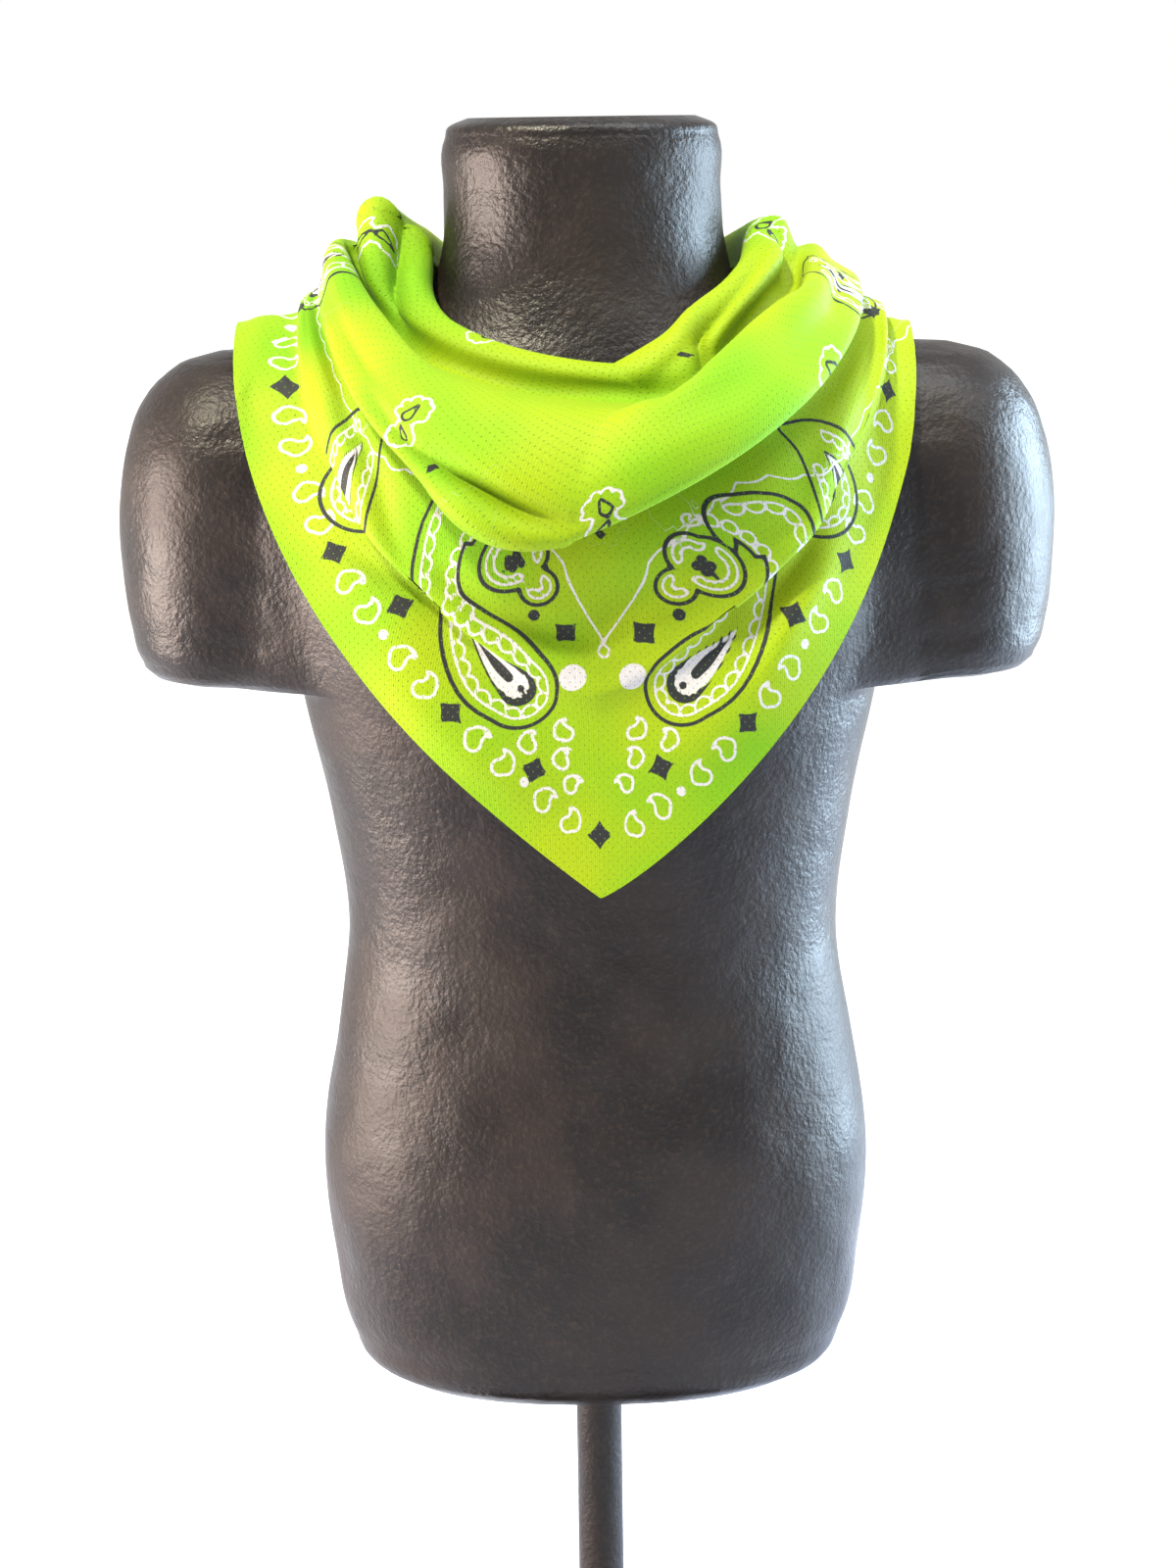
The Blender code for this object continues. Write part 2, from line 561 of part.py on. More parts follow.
def main():
    for old in list(bpy.data.objects):
        bpy.data.objects.remove(old)
    parts = bpy.data.collections.new("bandana_on_torso_form")
    bpy.context.scene.collection.children.link(parts)
    lime = material("lime_mesh_jersey", LIME, 0.75, 0.0)
    bronze = material("dark_bronze_paint", BRONZE, 0.45, 0.3)
    torso = loft("torso_form", [body_ring(height) for height in ring_heights()], bronze, parts)
    make_stand(bronze, parts)
    body = body_tree(torso)
    make_bandana(body, lime, parts)
    make_knot(lime, parts)
    for name, sizes in TAILS.items():
        make_tail(name, sizes, body, lime, parts)


main()
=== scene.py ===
"""A square bandana of mesh jersey, folded corner to corner and worn point down on a torso form and stand.

Metres, +Z up, -Y is the front. Every new piece is a grid of points worked out from named sizes. On the cloth
the grid's rows run round the neck and its columns run down from the inner edge to the hem. The print is kept
at the cloth's points as signed distances in millimetres, so its edges stay clean between them.
"""

import logging
import math
from dataclasses import dataclass, field
from enum import Enum
from typing import Any

import bpy
import numpy as np
from mathutils import Matrix, Vector


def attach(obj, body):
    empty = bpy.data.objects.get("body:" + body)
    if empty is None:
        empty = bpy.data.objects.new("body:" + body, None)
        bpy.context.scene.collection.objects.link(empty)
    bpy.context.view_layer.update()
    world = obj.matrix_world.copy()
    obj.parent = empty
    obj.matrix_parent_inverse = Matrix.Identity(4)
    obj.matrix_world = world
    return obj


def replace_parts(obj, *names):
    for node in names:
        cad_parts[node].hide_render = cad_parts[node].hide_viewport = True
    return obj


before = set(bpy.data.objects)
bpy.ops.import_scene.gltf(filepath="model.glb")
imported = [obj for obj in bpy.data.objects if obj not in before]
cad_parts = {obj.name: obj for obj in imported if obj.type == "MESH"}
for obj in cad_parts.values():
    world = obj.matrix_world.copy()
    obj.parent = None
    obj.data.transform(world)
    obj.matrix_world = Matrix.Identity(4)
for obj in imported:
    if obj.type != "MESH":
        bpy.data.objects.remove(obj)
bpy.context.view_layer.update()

log = logging.getLogger("bandana")

Array = np.ndarray
Colour = tuple[float, float, float, float]
Place = tuple[float, float, float]

# The form's lower edge, above which its levels and the cloth's lines are measured.
STAND_HEIGHT = 0.270
FORM_FOOT = (0.0, 0.0, STAND_HEIGHT)
KNOT_MIDDLE = (0.0, 0.0985, 0.5600)
# A distance in millimetres that no ink reaches.
NO_PRINT = 60.0
# What brings the greatest value of a * a * (1 - a) to 1.
PEAK = 27 / 4
# The length of a wave of the Wave Texture node at a scale of 1.
WAVE_LENGTH = 2 * math.pi / 20


class Side(Enum):
    """The wearer's sides as seen from the front."""

    LEFT = -1
    RIGHT = 1


class Ink(Enum):
    """The layers of the print, in the order that they are laid on the cloth."""

    WHITE_FILL = "white_fill"
    BLACK_FILL = "black_fill"
    WHITE_LINE = "white_line"
    BLACK_LINE = "black_line"


# ---------------------------------------------------------------- curves, grids and meshes


def spline(rows: Array, places: Array, steps: Array) -> Array:
    """Points along the smooth curve through rows: a cubic on each gap, with the slopes of a local parabola.

    Args:
        rows: the values that the curve passes through.
        places: where those stand, rising.
        steps: where the curve is wanted.

    Returns:
        One row for each step.
    """
    rows, places, steps = (np.asarray(given, float) for given in (rows, places, steps))
    gaps = np.diff(places).reshape((-1,) + (1,) * (rows.ndim - 1))
    slopes = np.diff(rows, axis=0) / gaps
    inside = (slopes[:-1] * gaps[1:] + slopes[1:] * gaps[:-1]) / (gaps[:-1] + gaps[1:])
    tangents = np.concatenate([slopes[:1], inside, slopes[-1:]])
    at = np.clip(np.searchsorted(places, steps, side="right") - 1, 0, len(rows) - 2)
    gap = gaps[at]
    t = (steps - places[at]).reshape(gap.shape) / gap
    lead = rows[at] * (1 + 2 * t) * (1 - t) ** 2 + tangents[at] * gap * t * (1 - t) ** 2
    return lead + rows[at + 1] * t**2 * (3 - 2 * t) - tangents[at + 1] * gap * t**2 * (1 - t)


def smooth_step(values: Array, low: float, high: float) -> Array:
    """0 below low, 1 above high, and a soft S between them."""
    t = ((values - low) / (high - low)).clip(0, 1)
    return t * t * (3 - 2 * t)


def unit(vectors: Array) -> Array:
    """Vectors brought to length one."""
    return vectors / np.linalg.norm(vectors, axis=-1, keepdims=True).clip(1e-12)


def beside(grid: Array, axis: int) -> tuple[Array, Array]:
    """The values beside each one along an axis, those at its ends being repeated.

    Args:
        grid: the values.
        axis: the way along it.

    Returns:
        The values one place back, and those one place on.
    """
    ends = [(1, 1) if k == axis else (0, 0) for k in range(grid.ndim)]
    padded = np.pad(grid, ends, mode="edge")
    count = grid.shape[axis]
    return padded.take(range(count), axis), padded.take(range(2, count + 2), axis)


def outward(grid: Array) -> Array:
    """Unit normals of a grid of points, which also hold at sharp folds.

    The way round is the step between a point's neighbours. The way down is the sum of the unit steps to the
    point and from it, each square to the way round.

    Args:
        grid: points by row and column, the rows round the neck and the columns down.

    Returns:
        A normal for each point.
    """
    back, on = beside(grid, 0)
    round_way = unit(on - back)
    back, on = beside(grid, 1)
    steps = (grid - back, on - grid)
    down_way = sum(unit(step - (step * round_way).sum(-1, keepdims=True) * round_way) for step in steps)
    return unit(np.cross(down_way, round_way))


def spread(values: Array, passes: int) -> Array:
    """A grid of values with its peaks widened: a pass raises a value to the mean of its two neighbours.

    Args:
        values: the grid.
        passes: how often that is done, each time both ways.

    Returns:
        The raised values.
    """
    for _ in range(passes):
        for axis in (0, 1):
            values = np.maximum(values, sum(beside(values, axis)) / 2)
    return values


def refined(values: Array, counts: tuple[int, int]) -> Array:
    """A grid of values carried to a finer grid by straight lines between them.

    Args:
        values: the coarse grid.
        counts: the rows and columns wanted.

    Returns:
        The fine grid.
    """
    for axis, count in enumerate(counts):
        places = np.linspace(0, values.shape[axis] - 1, count)
        low = places.astype(int).clip(max=values.shape[axis] - 2)
        share = (places - low).reshape([-1 if k == axis else 1 for k in range(values.ndim)])
        values = values.take(low, axis) * (1 - share) + values.take(low + 1, axis) * share
    return values


def mesh_of(name: str, points: Array, groups: list[Array]) -> bpy.types.Mesh:
    """A smooth mesh.

    Args:
        name: its name.
        points: its points, one in each row.
        groups: arrays of faces, those of one array having as many corners each.

    Returns:
        The mesh.
    """
    corners = np.concatenate([faces.ravel() for faces in groups]).astype(np.int32)
    counts = np.concatenate([np.full(len(faces), faces.shape[1]) for faces in groups])
    mesh = bpy.data.meshes.new(name)
    mesh.vertices.add(len(points))
    mesh.vertices.foreach_set("co", points.astype(np.float32).ravel())
    mesh.loops.add(len(corners))
    mesh.loops.foreach_set("vertex_index", corners)
    mesh.polygons.add(len(counts))
    mesh.polygons.foreach_set("loop_start", (np.cumsum(counts) - counts).astype(np.int32))
    mesh.update(calc_edges=True)
    mesh.shade_smooth()
    return mesh


def corner_points(mesh: bpy.types.Mesh) -> Array:
    """The number of the point at each corner of a mesh's faces.

    Args:
        mesh: the mesh.

    Returns:
        The numbers, face by face.
    """
    corners = np.zeros(len(mesh.loops), np.int32)
    mesh.loops.foreach_get("vertex_index", corners)
    return corners


def add_object(name: str, data: Any) -> bpy.types.Object:
    """An object in the scene.

    Args:
        name: its name.
        data: its mesh, light or camera.

    Returns:
        The object.
    """
    made = bpy.data.objects.new(name, data)
    bpy.context.scene.collection.objects.link(made)
    return made


def piece(name: str, mesh: bpy.types.Mesh, finish: bpy.types.Material) -> bpy.types.Object:
    """A piece of the object, at the origin, riding on the one body.

    Args:
        name: its name.
        mesh: its mesh, in place.
        finish: its material.

    Returns:
        The piece.
    """
    mesh.materials.append(finish)
    made = add_object(name, mesh)
    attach(made, "root")
    log.info("%s: %d points", name, len(mesh.vertices))
    return made


def quads(count: int, down: int) -> Array:
    """The faces of an open grid of points.

    Args:
        count: its rows.
        down: its columns.

    Returns:
        Four point numbers for each face.
    """
    corner = np.arange(count * down).reshape(count, down)
    a, b, c, d = corner[:-1, :-1], corner[:-1, 1:], corner[1:, 1:], corner[1:, :-1]
    return np.stack([a, b, c, d], axis=-1).reshape(-1, 4)


def tube_mesh(name: str, rings: Array) -> bpy.types.Mesh:
    """A closed mesh over a row of rings, with a flat face on each end.

    Args:
        name: its name.
        rings: points, by ring and by place round it, anticlockwise as seen from the last ring's side.

    Returns:
        The mesh.
    """
    count, sides, _ = rings.shape
    low = np.arange(count * sides).reshape(count, sides)[:-1]
    on = np.roll(low, -1, axis=1)
    sides_faces = np.stack([low, on, on + sides, low + sides], axis=-1).reshape(-1, 4)
    first, last = np.arange(sides)[::-1], np.arange(sides) + (count - 1) * sides
    return mesh_of(name, rings.reshape(-1, 3), [sides_faces, first[None], last[None]])


def ring_mesh(name: str, rings: Array) -> bpy.types.Mesh:
    """A closed mesh over a loop of rings, the last joined to the first.

    Args:
        name: its name.
        rings: points, by ring and by place round it.

    Returns:
        The mesh.
    """
    count, sides, _ = rings.shape
    low = np.arange(count * sides).reshape(count, sides)
    on = np.roll(low, -1, axis=1)
    far, far_on = np.roll(low, -1, axis=0), np.roll(on, -1, axis=0)
    faces = np.stack([low, on, far_on, far], axis=-1).reshape(-1, 4)
    return mesh_of(name, rings.reshape(-1, 3), [faces])


def cloth_mesh(name: str, inner: Array, outer: Array, normals: Array, every: int) -> bpy.types.Mesh:
    """A closed cloth wall with a fine outer face, a coarser inner face and a thin rim between them.

    Args:
        name: its name.
        inner: the points of the inner face, as fine as the outer face's.
        outer: the points of the outer face.
        normals: the outward normals at those points.
        every: which points the inner face keeps: 2 is every other one.

    Returns:
        The mesh, its outer points first.
    """
    count, down, _ = outer.shape
    kept = inner[::every, ::every]
    rows, columns, _ = kept.shape
    fine = np.arange(count * down).reshape(count, down)
    coarse = np.arange(rows * columns).reshape(rows, columns) + count * down
    outer_faces = quads(count, down)
    inner_faces = quads(rows, columns)[:, ::-1] + count * down
    fine_rim, coarse_rim = (np.concatenate([face[:, 0], face[-1, 1:], face[-2::-1, -1], face[0, -2:0:-1]])
                            for face in (fine, coarse))
    steps = [np.roll(fine_rim, -k)[::every] for k in range(every, -1, -1)]
    rim_faces = np.stack([coarse_rim] + steps[::-1] + [np.roll(coarse_rim, -1)], axis=-1)
    mesh = mesh_of(name, np.concatenate([outer.reshape(-1, 3), kept.reshape(-1, 3)]),
                   [outer_faces, inner_faces, rim_faces])
    corner_normals = np.concatenate([normals.reshape(-1, 3), -normals[::every, ::every].reshape(-1, 3)])
    flat = np.zeros(len(mesh.polygons) * 3, np.float32)
    mesh.polygons.foreach_get("normal", flat)
    shown = corner_normals[corner_points(mesh)]
    shown[-rim_faces.size:] = np.repeat(flat.reshape(-1, 3)[-len(rim_faces):], rim_faces.shape[1], axis=0)
    mesh.normals_split_custom_set(shown.tolist())
    return mesh


def put_values(mesh: bpy.types.Mesh, name: str, values: Array) -> None:
    """Keeps a number for each of a mesh's first points; the others have no print.

    Args:
        mesh: the mesh.
        name: the name of the values.
        values: the numbers.
    """
    whole = np.full(len(mesh.vertices), NO_PRINT, np.float32)
    whole[: values.size] = values.ravel()
    mesh.attributes.new(name, "FLOAT", "POINT").data.foreach_set("value", whole)


def put_cloth_map(mesh: bpy.types.Mesh, flat: Array, every: int) -> None:
    """Gives a cloth wall a UV map in metres of flat cloth.

    Args:
        mesh: the wall's mesh.
        flat: the flat place of each outer point.
        every: which of them the inner face keeps.
    """
    places = np.concatenate([flat.reshape(-1, 2), flat[::every, ::every].reshape(-1, 2)])
    values = places[corner_points(mesh)].astype(np.float32)
    mesh.uv_layers.new(name="cloth").data.foreach_set("uv", values.ravel())


# ---------------------------------------------------------------- finishes


class Shader:
    """The nodes of one material, put down from left to right."""

    def __init__(self, name: str, colour: Colour) -> None:
        """Starts a material with its surface shader.

        Args:
            name: the material's name.
            colour: what it shows as without its nodes.
        """
        self.material = bpy.data.materials.new(name)
        self.material.use_nodes = True
        self.material.diffuse_color = colour
        self.tree = self.material.node_tree
        self.surface = self.tree.nodes["Principled BSDF"]

    def put(self, socket: Any, value: Any) -> None:
        """Links a socket to another one, or sets it to a plain value.

        Args:
            socket: the one that takes it.
            value: the other socket, or the plain value.
        """
        if isinstance(value, bpy.types.NodeSocket):
            self.tree.links.new(value, socket)
        else:
            socket.default_value = value

    def node(self, kind: str, inputs: dict[Any, Any], **settings: Any) -> bpy.types.Node:
        """A node.

        Args:
            kind: its type.
            inputs: what each of its inputs is linked to or set to, by name or number.
            **settings: its own settings.

        Returns:
            The node.
        """
        made = self.tree.nodes.new(kind)
        for name, value in settings.items():
            setattr(made, name, value)
        for key, value in inputs.items():
            self.put(made.inputs[key], value)
        return made

    def maths(self, operation: str, *values: Any) -> bpy.types.NodeSocket:
        """The result of a sum on sockets or numbers."""
        return self.node("ShaderNodeMath", dict(enumerate(values)), operation=operation).outputs[0]

    def between(self, value: Any, low: float, high: float, first: float = 0.0, last: float = 1.0) -> Any:
        """A value carried softly from the range low to high on to the range first to last."""
        inputs = {"Value": value, "From Min": low, "From Max": high, "To Min": first, "To Max": last}
        return self.node("ShaderNodeMapRange", inputs, interpolation_type="SMOOTHSTEP").outputs[0]

    def mix(self, share: Any, first: Any, second: Any, blend: str = "MIX") -> bpy.types.NodeSocket:
        """A mix of two colours.

        Args:
            share: how much of the second one there is.
            first: one colour.
            second: the other.
            blend: how they are laid on each other.

        Returns:
            The mixed colour.
        """
        made = self.node("ShaderNodeMix", {}, data_type="RGBA", blend_type=blend)
        for k, value in ((0, share), (6, first), (7, second)):
            self.put(made.inputs[k], value)
        return made.outputs[2]

    def noise(self, at: Any, scale: float, detail: float = 2.0, rough: float = 0.5) -> bpy.types.NodeSocket:
        """Even noise at a scale, in waves a metre."""
        inputs = {"Vector": at, "Scale": scale, "Detail": detail, "Roughness": rough}
        return self.node("ShaderNodeTexNoise", inputs).outputs[0]

    def bump(self, height: Any, strength: float, distance: float, under: Any = None) -> bpy.types.NodeSocket:
        """A bump on the surface.

        Args:
            height: how far each place is raised.
            strength: how much of it is seen.
            distance: what a height of one stands for, in metres.
            under: the normal of a bump that it lies over, where there is one.

        Returns:
            The surface's normal.
        """
        inputs = {"Height": height, "Strength": strength, "Distance": distance}
        if under is not None:
            inputs["Normal"] = under
        return self.node("ShaderNodeBump", inputs).outputs[0]

    def finish(self, **inputs: Any) -> bpy.types.Material:
        """Sets the surface shader's inputs.

        Args:
            **inputs: what each is linked to or set to, by its name with _ for a space.

        Returns:
            The material.
        """
        for name, value in inputs.items():
            self.put(self.surface.inputs[name.replace("_", " ")], value)
        return self.material


@dataclass(frozen=True)
class MeshJersey:
    """Lime knitted jersey with staggered pinholes, fine ribs and a two-ink print; each pinhole is painted a
    darker green as painted shade.
    """

    yellow_lime: Colour = (0.157, 0.218, 0.0015, 1.0)
    green_lime: Colour = (0.092, 0.214, 0.003, 1.0)
    white: Colour = (0.300, 0.290, 0.290, 1.0)
    black: Colour = (0.012, 0.013, 0.014, 1.0)
    # Painted shade: a darker green painted into each pinhole, and how much of it is laid there.
    hole_shade_colour: Colour = (0.048, 0.135, 0.004, 1.0)
    hole_shade_strength: float = 0.62
    hole_spacing: float = 0.0033
    hole_radius: float = 0.00033
    hole_edge: tuple[float, float] = (0.55, 1.6)
    hole_jitter: float = 0.06
    hole_sink: float = 0.0006
    rib_spacing: float = 0.0011
    rib_wobble: float = 0.6
    rib_rise: float = 0.0003
    loop_scale: float = 1500.0
    cloud_scale: float = 9.0
    cloud_range: tuple[float, float] = (0.35, 0.68)
    heather_scale: float = 900.0
    heather: tuple[float, float] = (0.90, 1.06)
    roughness: tuple[float, float] = (0.58, 0.70)
    shine: float = 0.10
    sheen: float = 0.02
    sheen_roughness: float = 0.45
    white_line_width: float = 1.45
    black_line_width: float = 1.9
    edge_softness: float = 0.22

    def material(self, printed: bool) -> bpy.types.Material:
        """The finish.

        Args:
            printed: whether the cloth carries the print's values.

        Returns:
            The material.
        """
        shader = Shader("mesh_jersey" if printed else "mesh_jersey_plain", self.yellow_lime)
        cloth = shader.node("ShaderNodeUVMap", {}, uv_map="cloth").outputs[0]
        place = shader.node("ShaderNodeTexCoord", {}).outputs["Object"]
        broad = shader.between(shader.noise(place, self.cloud_scale), *self.cloud_range)
        colour = shader.mix(broad, self.yellow_lime, self.green_lime)
        heather = shader.between(shader.noise(cloth, self.heather_scale, 3.0), 0.3, 0.7, *self.heather)
        if printed:
            colour = self.printed(shader, colour)
        colour = shader.mix(1.0, colour, self.grey_of(shader, heather), "MULTIPLY")
        hole = self.holes(shader, cloth)
        # Painted shade: the pinholes are painted a darker green where the hole mask is strong.
        colour = shader.mix(shader.maths("MULTIPLY", hole, self.hole_shade_strength), colour, self.hole_shade_colour)
        return shader.finish(Base_Color=colour, Roughness=shader.between(broad, 0.0, 1.0, *self.roughness),
                             Specular_IOR_Level=self.shine, Sheen_Weight=self.sheen,
                             Sheen_Roughness=self.sheen_roughness, Normal=self.knit(shader, cloth, hole))

    @staticmethod
    def grey_of(shader: Shader, value: Any) -> bpy.types.NodeSocket:
        """A grey whose three parts are one value."""
        return shader.node("ShaderNodeCombineColor", {0: value, 1: value, 2: value}).outputs[0]

    def printed(self, shader: Shader, ground: Any) -> bpy.types.NodeSocket:
        """The print over its ground: a fill lies where its distance is below 0, a line where it is near 0.

        Args:
            shader: the material's nodes.
            ground: the cloth's own colour.

        Returns:
            The colour.
        """
        inks = {
            Ink.WHITE_FILL: (self.white, None),
            Ink.BLACK_FILL: (self.black, None),
            Ink.WHITE_LINE: (self.white, self.white_line_width),
            Ink.BLACK_LINE: (self.black, self.black_line_width),
        }
        for ink, (colour, width) in inks.items():
            distance = shader.node("ShaderNodeAttribute", {}, attribute_name=ink.value).outputs["Fac"]
            if width is not None:
                distance = shader.maths("SUBTRACT", shader.maths("ABSOLUTE", distance), width / 2)
            laid = shader.between(distance, -self.edge_softness, self.edge_softness, 1.0, 0.0)
            ground = shader.mix(laid, ground, colour)
        return ground

    def holes(self, shader: Shader, cloth: Any) -> bpy.types.NodeSocket:
        """The pinholes: even cells on the slant, strongest near the middle of each, where the painted shade
        of the hole is laid.

        Args:
            shader: the material's nodes.
            cloth: the place on the cloth, in metres.

        Returns:
            How much of a hole each place is.
        """
        turned = shader.node("ShaderNodeMapping", {"Vector": cloth, "Rotation": (0.0, 0.0, math.pi / 4)})
        cells = {"Vector": turned.outputs[0], "Scale": 1 / self.hole_spacing, "Randomness": self.hole_jitter}
        distance = shader.node("ShaderNodeTexVoronoi", cells, voronoi_dimensions="2D").outputs["Distance"]
        inner, outer = (self.hole_radius / self.hole_spacing * share for share in self.hole_edge)
        return shader.between(distance, inner, outer, 1.0, 0.0)

    def knit(self, shader: Shader, cloth: Any, hole: Any) -> bpy.types.NodeSocket:
        """The knit's relief: ribs down the cloth, fine loops on them, and the pinholes sunk in it.

        Args:
            shader: the material's nodes.
            cloth: the place on the cloth, in metres.
            hole: how much of a hole each place is.

        Returns:
            The surface's normal.
        """
        wave = {"Vector": cloth, "Scale": WAVE_LENGTH / self.rib_spacing, "Distortion": self.rib_wobble,
                "Detail": 1.0, "Detail Scale": 1.5}
        ribs = shader.node("ShaderNodeTexWave", wave).outputs["Fac"]
        loops = shader.noise(cloth, self.loop_scale, 1.0)
        under = shader.bump(shader.maths("ADD", ribs, loops), 0.20, self.rib_rise)
        return shader.bump(shader.maths("MULTIPLY", hole, -1.0), 0.55, self.hole_sink, under)


@dataclass(frozen=True)
class CastBronze:
    """A dark bronze-black cast finish with a leathery skin."""

    dark: Colour = (0.0045, 0.0035, 0.0035, 1.0)
    brown: Colour = (0.010, 0.007, 0.006, 1.0)
    worn: Colour = (0.022, 0.015, 0.011, 1.0)
    worn_share: float = 0.45
    orange_peel: float = 380.0
    peel_rise: float = 0.0016
    hammer: float = 34.0
    dent_rise: float = 0.010
    patch_scale: float = 14.0
    roughness: tuple[float, float] = (0.32, 0.46)
    metal: float = 0.12
    shine: float = 0.20

    def material(self) -> bpy.types.Material:
        """The finish: a fine orange peel over broad soft dents, browner where its tops are worn.

        Returns:
            The material.
        """
        shader = Shader("dark_bronze", self.brown)
        place = shader.node("ShaderNodeTexCoord", {}).outputs["Object"]
        peel = shader.noise(place, self.orange_peel, 3.0, 0.55)
        dents = shader.noise(place, self.hammer, 3.0, 0.45)
        patches = shader.between(shader.noise(place, self.patch_scale, 3.0), 0.35, 0.65)
        colour = shader.mix(patches, self.dark, self.brown)
        colour = shader.mix(shader.between(peel, 0.50, 0.72, 0.0, self.worn_share), colour, self.worn)
        rough = shader.between(shader.maths("ADD", dents, patches), 0.4, 1.6, *self.roughness)
        skin = shader.bump(peel, 0.40, self.peel_rise, shader.bump(dents, 0.22, self.dent_rise))
        return shader.finish(Base_Color=colour, Roughness=rough, Metallic=self.metal,
                             Specular_IOR_Level=self.shine, Normal=skin)


@dataclass(frozen=True)
class StudioFloor:
    """A plain pale floor with a faint mottle."""

    pale: Colour = (0.42, 0.44, 0.52, 1.0)
    paler: Colour = (0.46, 0.48, 0.56, 1.0)
    mottle: float = 3.0
    roughness: float = 0.85
    shine: float = 0.1

    def material(self) -> bpy.types.Material:
        """The finish, a soft mottle of its two colours.

        Returns:
            The material.
        """
        shader = Shader("pale_floor", self.pale)
        place = shader.node("ShaderNodeTexCoord", {}).outputs["Object"]
        colour = shader.mix(shader.noise(place, self.mottle), self.pale, self.paler)
        return shader.finish(Base_Color=colour, Roughness=self.roughness, Specular_IOR_Level=self.shine)


# ---------------------------------------------------------------- the torso form


@dataclass(frozen=True)
class TorsoLevel:
    """One level of the torso: half width, depth before and behind its axis, and its superellipse's power."""

    height: float
    half_width: float
    front: float
    back: float
    squareness: float


@dataclass(frozen=True)
class StumpLevel:
    """One level of the shoulder stumps: how far out their middle is, and their half width and depth."""

    height: float
    middle: float
    half_width: float
    half_depth: float


